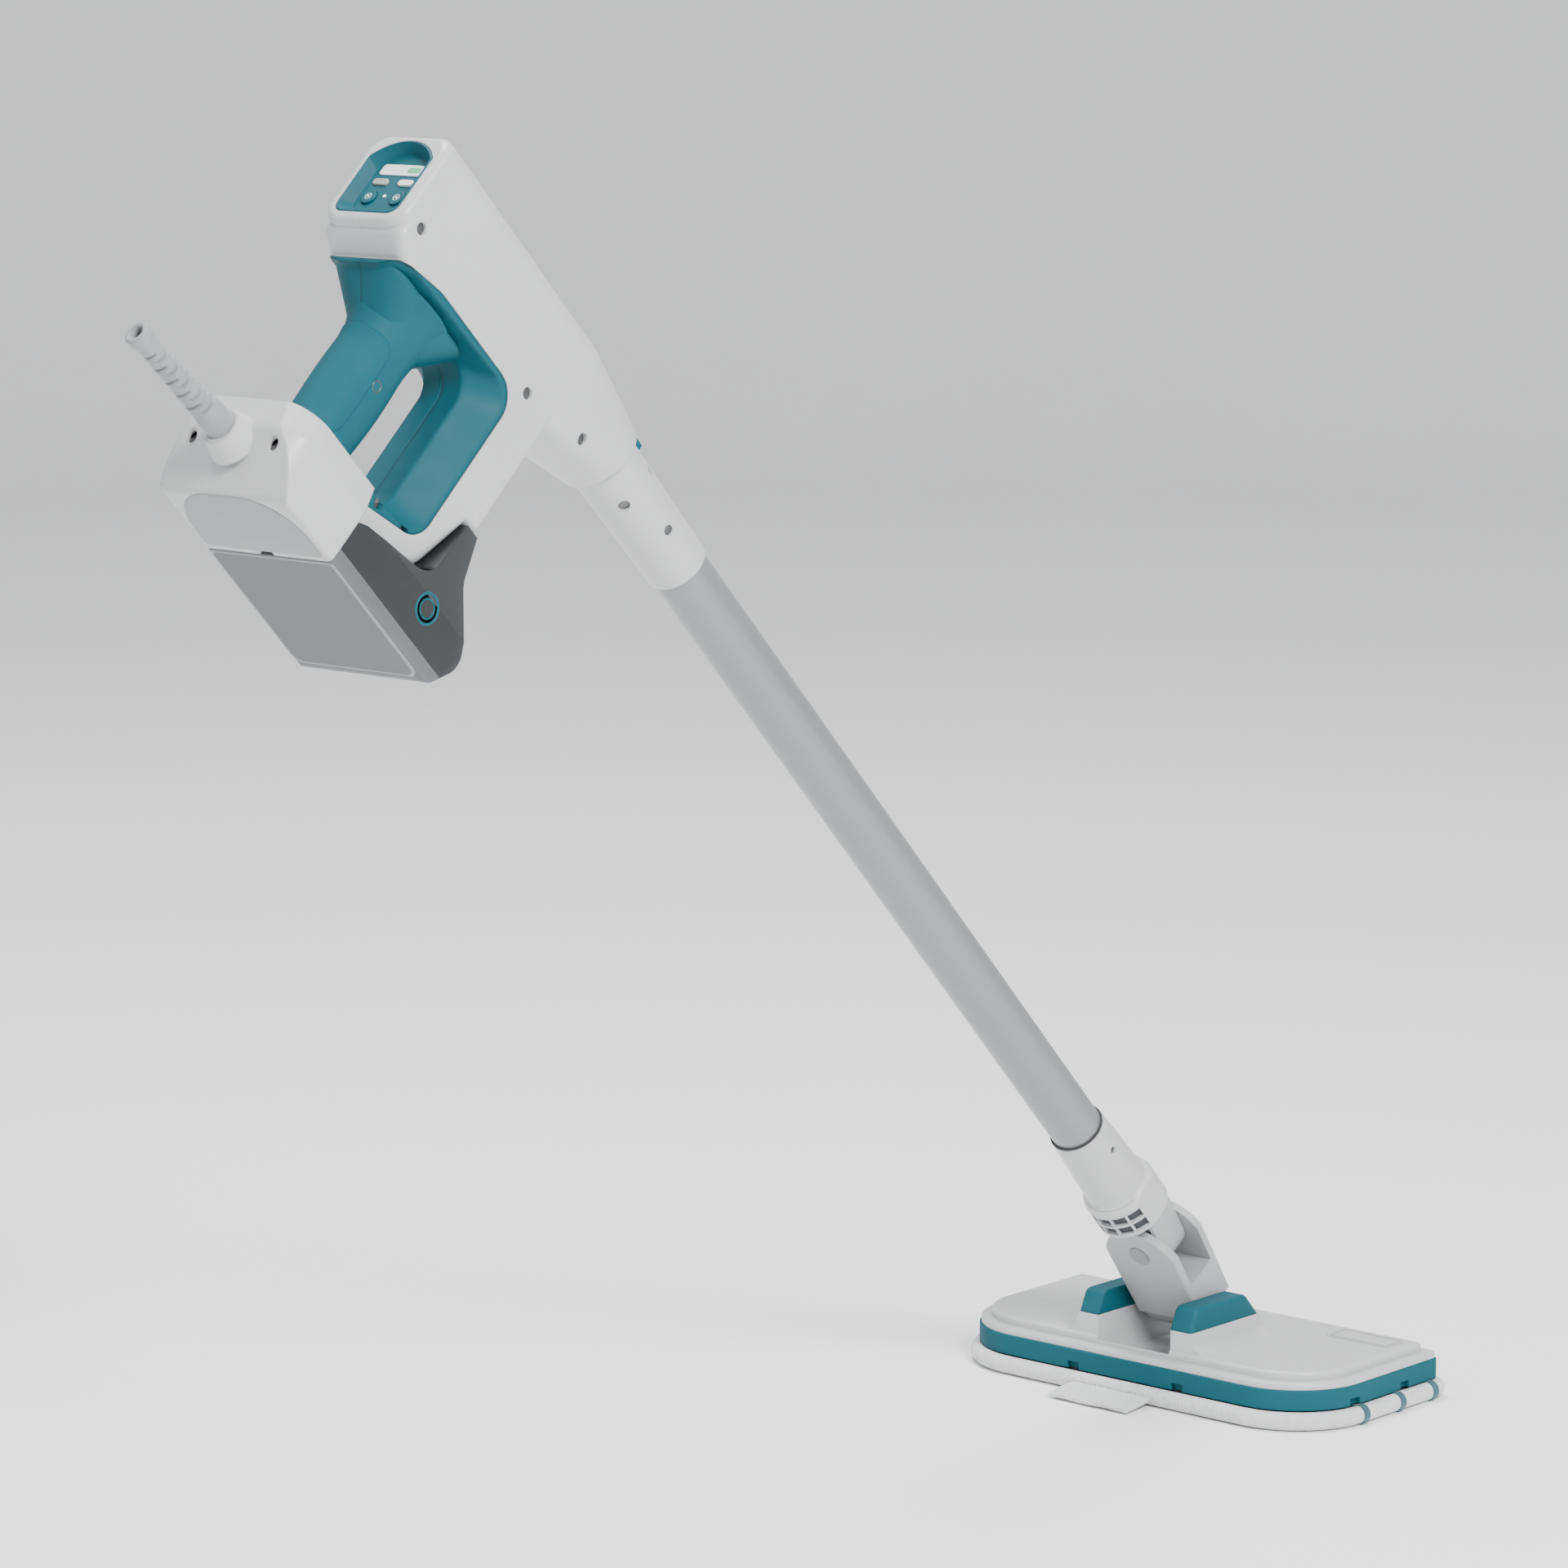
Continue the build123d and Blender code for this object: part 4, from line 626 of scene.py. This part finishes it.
class MOP_OT_relief(bpy.types.Operator):
    """Make the slotted strain relief"""
    bl_idname = "mop.relief"
    bl_label = "Strain relief"

    def execute(self, context):
        """A profile of radius over length turned round the relief's axis, out along the sleeve, over the belled
        tip and back down the bore; between 36 and 84 mm the radius drops by the slot depth where a smooth
        pulse along the length meets a smooth pulse round it, turned a quarter at every other slot."""
        outer = np.linspace(2.0, 97.0, 330)
        bell = np.array((97.6, 98.0, 97.8, 97.0, 94.0, 88.0, 84.0))
        length = np.concatenate((outer, bell))
        knots = (0.0, 30.0, 38.0, 84.0, 90.0, 92.0, 98.0)
        outside = np.interp(outer, knots, (8.3, 8.3, 7.3, 5.7, 6.0, 6.9, 7.0))
        radius = np.concatenate((outside, (6.4, 5.5, 4.4, 3.7, 3.6, 3.6, 3.6)))
        turn = np.linspace(0, math.tau, 96, endpoint=False)
        step = (length - 36.0) / 5.0
        along = np.clip(2.2 * np.cos((step - 0.5) * math.tau) - 0.6, 0, 1)
        along = along * ((length > 36.0) & (length < 84.0) & (radius > 5.0))
        quarter = np.floor(step) % 2 * math.pi / 2
        round_it = np.clip(2.4 * np.abs(np.cos(turn[None, :] - quarter[:, None])) - 0.9, 0, 1)
        cut = radius[:, None] - 2.3 * along[:, None] * round_it
        ring = np.stack((cut * np.cos(turn), cut * np.sin(turn)), axis=-1)
        lean = math.radians(4.5)
        v = 176.5 + length[:, None] * math.sin(lean) + ring[..., 1] * math.cos(lean)
        z = 199.0 + length[:, None] * math.cos(lean) - ring[..., 1] * math.sin(lean)
        rings = hand(ring[..., 0], v, z)
        points, faces = closed_loft(rings)
        material = soft_rubber("relief_rubber", (0.24, 0.245, 0.25), 0.55)
        piece = outward(add_piece("strain_sleeve", points, faces, material, "hand_unit"))
        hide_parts("strain_relief")
        return {"FINISHED"}


class MOP_OT_grip(bpy.types.Operator):
    """Make the swelling skin of the grip and its soft inlay"""
    bl_idname = "mop.grip"
    bl_label = "Grip"

    def section(self, v, turn, lift):
        """Oval of the grip at v: half width and half depth swell by a sine between the two ends, the finger
        side swells a little more, and near both ends the oval flares by squares of the way to the end, most
        at the back under the barrel."""
        share = np.clip((v - 60.0) / 92.0, 0, 1)
        swell = np.sin(share * math.pi) ** 1.2
        upper = np.clip((86.0 - v) / 36.0, 0, 1) ** 2
        lower = np.clip((v - 130.0) / 22.0, 0, 1) ** 2
        wide = 17.1 + 1.1 * swell + 11.5 * upper + 5.0 * lower + lift
        back = 19.6 + 1.9 * swell + 21.0 * upper + 2.0 * lower + lift
        front = 19.6 + 3.0 * swell + 9.0 * upper + 6.0 * lower + lift
        x = wide * np.cos(turn)
        z = 165.5 + np.where(np.sin(turn) > 0, back, front) * np.sin(turn)
        return x, z

    def execute(self, context):
        """The skin is the section carried along v, closed at both ends inside the liner. The inlay is the same
        section lifted by its thickness over the rear half, thinned to nothing along its rounded border."""
        turn = np.linspace(0, math.tau, 96, endpoint=False)
        v = np.linspace(50.0, 153.0, 90)
        x, z = self.section(v[:, None], turn[None, :], 0.0)
        points, faces = closed_loft(hand(x, v[:, None], z))
        material = moulded("teal_grip", context.scene.mop_colours.teal, 0.60, 1900.0, 0.22,
                           Specular_IOR_Level=0.22)
        outward(add_piece("grip_skin", points, faces, material, "hand_unit"))
        reach = np.array((3.3, 3.3, 3.0, 2.7, 2.4, 0.6))[:, None]
        out = np.array((15.0, 18.25, 18.4, 18.2, 17.3, 17.3))[:, None]
        rings = hand(out, 100.0 + reach * np.cos(turn), 165.5 + reach * np.sin(turn))
        points, faces = closed_loft(rings)
        steel = bare_metal("grip_steel", (0.14, 0.14, 0.145), 0.45)
        outward(add_piece("grip_screw", points, faces, steel, "hand_unit"))
        across = np.linspace(math.radians(8.0), math.radians(172.0), 90)
        along = np.linspace(76.0, 140.0, 90)
        side = np.abs(across - math.pi / 2) / math.radians(82.0)
        end = np.abs(along - 108.0) / 32.0
        border = (side[None, :] ** 7 + end[:, None] ** 7) ** (1 / 7)
        squeeze = np.clip(1 / np.maximum(border, 1e-6), 0, 1)
        turn_at = math.pi / 2 + (across - math.pi / 2)[None, :] * squeeze
        v_at = 108.0 + (along - 108.0)[:, None] * squeeze
        lift = 0.75 * np.clip((1 - np.minimum(border, 1)) / 0.035, 0, 1) ** 0.5
        outer = hand(*self.inlay_place(turn_at, v_at, lift))
        inner = hand(*self.inlay_place(turn_at, v_at, np.full_like(lift, -0.6)))
        count = outer.shape[0] * outer.shape[1]
        top = grid_faces(90, 90, False, False)
        edge = np.concatenate((np.arange(90), np.arange(1, 90) * 90 + 89, 8100 - 2 - np.arange(89),
                               (np.arange(88, 0, -1)) * 90))
        after = np.roll(edge, -1)
        wall = np.stack((edge, edge + count, after + count, after), axis=-1)
        points = np.vstack((outer.reshape(-1, 3), inner.reshape(-1, 3)))
        faces = [top[:, ::-1], top + count, wall[:, ::-1]]
        piece = outward(add_piece("grip_pad", points, faces, teal_soft(), "hand_unit"))
        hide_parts("grip_inlay")
        return {"FINISHED"}

    def inlay_place(self, turn, v, lift):
        """x, v and z of the inlay's points."""
        x, z = self.section(v, turn, lift)
        return x, v, z


class MOP_OT_marks(bpy.types.Operator):
    """Make the panel's lamps and generic marks, the collar's lining, the tank's port and the plate's frame"""
    bl_idname = "mop.marks"
    bl_label = "Small details"

    def disc(self, name, centre, sizes, rise, material, body, slot):
        """Low button on the panel: rings of a superellipse of the given half sizes, drawn in over its top."""
        turn = np.linspace(0, math.tau, 48, endpoint=False)
        shrink = np.array((1.0, 1.0, 0.96, 0.86, 0.5))
        lifts = np.array((-0.4, rise * 0.6, rise * 0.9, rise, rise))
        power = 0.5
        x = centre[0] + sizes[0] * shrink[:, None] * np.sign(np.cos(turn)) * np.abs(np.cos(turn)) ** power
        v = centre[1] + sizes[1] * shrink[:, None] * np.sign(np.sin(turn)) * np.abs(np.sin(turn)) ** power
        points, faces = closed_loft(hand(x, v, centre[2] + lifts[:, None]))
        return outward(add_piece(name, points, faces, material, body))

    def ring(self, name, centre, radius, thick, material, body, slot, upright):
        """Ring: a small circle carried round a large one, square to the pole, or to x when upright."""
        turn = np.linspace(0, math.tau, 64, endpoint=False)[:, None]
        small = np.linspace(0, math.tau, 16, endpoint=False)[None, :]
        reach = radius + thick * np.cos(small)
        aside, up, out = reach * np.cos(turn), reach * np.sin(turn), thick * np.sin(small) + 0 * turn
        if upright:
            points = hand(centre[0] + out, centre[1] + aside, centre[2] + up)
        else:
            points = hand(centre[0] + aside, centre[1] + up, centre[2] + out)
        faces = [grid_faces(64, 16, True, True)]
        return outward(add_piece(name, points, faces, material, body))

    def execute(self, context):
        colours = context.scene.mop_colours
        pale = moulded("pale_mark", (0.72, 0.78, 0.80), 0.4, 2200.0, 0.05)
        self.disc("display_lamp", (9.0, -3.5, 218.5), (4.6, 2.0), 0.12,
                  lit_mark("lamp_green", (0.10, 0.42, 0.22), 0.25), "hand_unit", "display")
        self.disc("display_scale", (-4.5, -3.5, 218.5), (6.4, 0.7), 0.10, pale, "hand_unit", "display")
        self.disc("panel_led", (0.0, 15.0, 218.0), (0.9, 0.9), 0.5,
                  lit_mark("lamp_white", (0.75, 0.85, 0.85), 0.4), "hand_unit", "display")
        for name, x in (("left", -10.3), ("right", 10.3)):
            body = f"round_key_{name}"
            self.ring(f"key_ring_{name}", (x, 16.4, 219.2), 1.9, 0.22, pale, body, "key_white", False)
            self.disc(f"key_dot_{name}", (x, 16.4, 219.2), (0.7, 0.7), 0.18, pale, body, "key_white")
        turn = np.radians(np.linspace(-66.0, 66.0, 60))
        radius = np.array((22.0, 20.8))
        arc = np.stack((np.sin(turn), np.cos(turn)), axis=-1)
        shape = np.concatenate((arc * radius[0], arc[::-1] * radius[1]))
        rows = np.stack([self.pole(shape[:, 0], shape[:, 1], z) for z in (34.2, 56.8)])
        points, faces = closed_loft(rows)
        outward(add_piece("collar_lining", points, faces, dark_plastic(), "pole", False))
        dark = moulded("port_black", colours.dark, 0.35, 2000.0, 0.1)
        teal = teal_plastic()
        turn = np.linspace(0, math.tau, 72, endpoint=False)
        reach = np.array((8.6, 8.6, 8.0, 4.5, 4.2, 2.0))
        out = np.array((24.5, 46.6, 47.0, 47.0, 44.5, 44.5))
        for name, side in (("right", 1.0), ("left", -1.0)):
            v = 174.5 + reach[:, None] * np.cos(turn)
            z = 78.25 + reach[:, None] * np.sin(turn)
            points, faces = closed_loft(hand(side * out[:, None], v, z))
            outward(add_piece(f"tank_port_{name}", points, faces, dark, "tank"))
            self.ring(f"port_ring_{name}", (side * 46.6, 174.5, 78.25), 8.2, 0.9, teal, "tank", "teal", True)
            self.ring(f"port_core_{name}", (side * 46.6, 174.5, 78.25), 5.2, 0.7, teal, "tank", "teal", True)
        low, high = (np.array(corner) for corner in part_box("badge_plate"))
        outline = rounded_outline(low[:2] + 0.0018, high[:2] - 0.0018, (0.0015,) * 4, 6, 10)
        inner = rounded_outline(low[:2] + 0.0024, high[:2] - 0.0024, (0.0010,) * 4, 6, 10)
        rows = np.stack((np.column_stack((outline, np.full(64, high[2] - 0.0002))),
                         np.column_stack((outline, np.full(64, high[2] + 0.0002))),
                         np.column_stack((inner, np.full(64, high[2] + 0.0002))),
                         np.column_stack((inner, np.full(64, high[2] - 0.0002)))))
        piece = add_piece("badge_frame", rows, [grid_faces(4, 64, True, True)],
                          grey_plastic("frame_grey", 0.25, 0.45), "head", False)
        outward(piece)
        self.bands(context)
        return {"FINISHED"}

    def bands(self, context):
        """The bumper's painted shade is the head's outline carried up between two heights, with a wall's thickness:
        a dark band behind the bumper's notches, painted shade for the recesses in front of the white skirt.
        The tank's rim is a circle of radius rim carried round the face's outline. The hood's plate is its
        outline raised through lifts, drawn in by shrink at the edge; its grey is painted shade for the hood's
        downward end face."""
        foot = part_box("bumper_ring")[0][2] + 0.0002
        rim, sections = 1.1, 14
        dark = dark_plastic()
        rows = []
        # Painted shade: a dark band standing in for the shade inside the bumper's notches, seen only through them.
        for inset, lift in ((0.0144, 0.0), (0.0144, 0.0047), (0.0149, 0.0047), (0.0149, 0.0)):
            outline = pad_outline(inset)
            rows.append(np.column_stack((outline, np.full(len(outline), foot + lift))))
        outward(add_piece("bumper_painted_shade", np.stack(rows), [grid_faces(4, len(rows[0]), True, True)], dark,
                          "head", False))
        turn = np.linspace(0, math.tau, sections, endpoint=False)
        rows = []
        for angle in turn:
            outline = rounded_outline((-44.8 - rim * math.cos(angle), 57.0 - rim * math.cos(angle)),
                                      (44.8 + rim * math.cos(angle), 145.9 + rim * math.cos(angle)),
                                      (6.0, 6.0, 2.5, 2.5), 10, 30)
            rows.append(hand(outline[:, 0], np.full(len(outline), 202.2 + rim * math.sin(angle)), outline[:, 1]))
        # Raised plate on the hood's end face: its grey, darker than the white case, is painted shade for a face that
        # turns downward.
        shrink = np.array((0.0, 0.0, 0.25, 0.7))
        lifts = (202.0, 203.1, 203.35, 203.45)
        plate = []
        for inset, lift in zip(shrink, lifts):
            round_top = 30.0 - min(inset, 3.0)
            outline = rounded_outline((-43.5 + inset, 150.8 + inset), (43.5 - inset, 193.6 - inset),
                                      (2.8, 2.8, round_top, round_top), 12, 30)
            plate.append(hand(outline[:, 0], np.full(len(outline), lift), outline[:, 1]))
        points, faces = closed_loft(np.stack(plate))
        shade = moulded("painted_shade_grey", (0.27, 0.275, 0.28), 0.45, 2400.0, 0.15)
        outward(add_piece("hood_painted_shade_plate", points, faces, shade, "hand_unit"))
        finish = moulded("frosted_rim", (0.20, 0.21, 0.22), 0.3, 1600.0, 0.1, Coat_Weight=0.3)
        outward(add_piece("tank_rim", np.stack(rows), [grid_faces(sections, len(rows[0]), True, True)], finish,
                          "tank"))

    def pole(self, x, y, z):
        """Points of the pole, in millimetres: x across, y towards the user's side and z up from the upper pin,
        as PIVOT + x*SIDE + y*DROP - z*DOWN."""
        offset = x[:, None] * SIDE + y[:, None] * DROP - z * DOWN
        return PIVOT + offset * MM


class MOP_OT_stage(bpy.types.Operator):
    """Set the floor, the lights and the camera"""
    bl_idname = "mop.stage"
    bl_label = "Stage"

    def execute(self, context):
        """The paper is a profile turned upright: flat floor, quarter circle, wall all round the studio."""
        scene = context.scene
        angle = math.radians(41.19)
        bend = np.linspace(0, math.pi / 2, 24)
        reach = np.concatenate((np.linspace(0.0, 5.4, 12), 5.5 + 2.2 * np.sin(bend), (7.7,)))
        rise = np.concatenate((np.zeros(12), 2.2 * (1 - np.cos(bend)), (7.5,)))
        turn = np.linspace(0, math.tau, 96, endpoint=False)[:, None]
        grid = np.stack((reach * np.cos(turn), reach * np.sin(turn) - 0.4, rise - 0.0002 + 0 * turn), axis=-1)
        finish = Finish("studio_paper", (0.93, 0.93, 0.935), 0.85)
        finish.tint(finish.noise(3.0, 2.0), 0.005)
        mesh = bpy.data.meshes.new("studio_floor")
        mesh.from_pydata(grid.reshape(-1, 3).tolist(), [], grid_faces(96, 37, True, False).tolist())
        mesh.materials.append(finish.material)
        mesh.shade_smooth()
        floor = bpy.data.objects.new("studio_floor", mesh)
        scene.collection.objects.link(floor)
        world = bpy.data.worlds.new("studio")
        world.use_nodes = True
        world.node_tree.nodes["Background"].inputs["Color"].default_value = (0.95, 0.97, 1.0, 1.0)
        world.node_tree.nodes["Background"].inputs["Strength"].default_value = 0.60
        scene.world = world
        self.light("key", (2.9, -1.5, 2.7), 1.1, 240.0)
        self.light("fill", (-1.8, -2.8, 2.2), 2.0, 18.0)
        self.light("top", (-0.8, -0.2, 3.4), 1.6, 120.0)
        camera_data = bpy.data.cameras.new("camera")
        camera_data.sensor_width = 36.0
        camera_data.lens = 131.27
        camera_data.clip_end = 50.0
        camera = bpy.data.objects.new("camera", camera_data)
        camera.location = (2.12984, -2.82611, 0.94997)
        camera.rotation_euler = (math.radians(90.0 - 9.138), 0.0, angle)
        scene.collection.objects.link(camera)
        scene.camera = camera
        return {"FINISHED"}

    def light(self, name, place, size, power):
        """Square soft light aimed at the middle of the object."""
        data = bpy.data.lights.new(name, "AREA")
        data.size = size
        data.energy = power
        lamp = bpy.data.objects.new(name, data)
        lamp.location = place
        middle = (np.array(CAD_BOX[0]) + np.array(CAD_BOX[1])) / 2
        aim = middle - np.array(place)
        flat = math.hypot(aim[0], aim[1])
        lamp.rotation_euler = (math.atan2(flat, -aim[2]), 0.0, math.atan2(aim[1], aim[0]) - math.pi / 2)
        bpy.context.scene.collection.objects.link(lamp)


class MOP_PT_panel(bpy.types.Panel):
    """Lists the steam mop's pieces"""
    bl_idname = "MOP_PT_panel"
    bl_label = "Steam Mop"
    bl_space_type = "VIEW_3D"
    bl_region_type = "UI"
    bl_category = "Steam Mop"

    def draw(self, context):
        for group in (context.scene.mop_sizes, context.scene.mop_colours):
            for name in group.__annotations__:
                self.layout.prop(group, name)
        for operator in OPERATORS:
            self.layout.operator(operator.bl_idname)


OPERATORS = (MOP_OT_stage, MOP_OT_pad, MOP_OT_tab, MOP_OT_tapes, MOP_OT_head, MOP_OT_pole, MOP_OT_hand, MOP_OT_tank,
             MOP_OT_relief, MOP_OT_grip, MOP_OT_marks)
CLASSES = (MopSizes, MopColours, *OPERATORS, MOP_PT_panel)


def register():
    """Registers the classes and the scene's settings."""
    for item in CLASSES:
        bpy.utils.register_class(item)
    bpy.types.Scene.mop_sizes = bpy.props.PointerProperty(type=MopSizes)
    bpy.types.Scene.mop_colours = bpy.props.PointerProperty(type=MopColours)


def unregister():
    """Takes the classes and settings away again."""
    del bpy.types.Scene.mop_colours
    del bpy.types.Scene.mop_sizes
    for item in reversed(CLASSES):
        bpy.utils.unregister_class(item)


def main():
    """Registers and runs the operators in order."""
    register()
    bpy.ops.mop.stage()
    bpy.ops.mop.pad()
    bpy.ops.mop.tab()
    bpy.ops.mop.tapes()
    bpy.ops.mop.head()
    bpy.ops.mop.pole()
    bpy.ops.mop.hand()
    bpy.ops.mop.tank()
    bpy.ops.mop.relief()
    bpy.ops.mop.grip()
    bpy.ops.mop.marks()


if __name__ == "__main__":
    main()
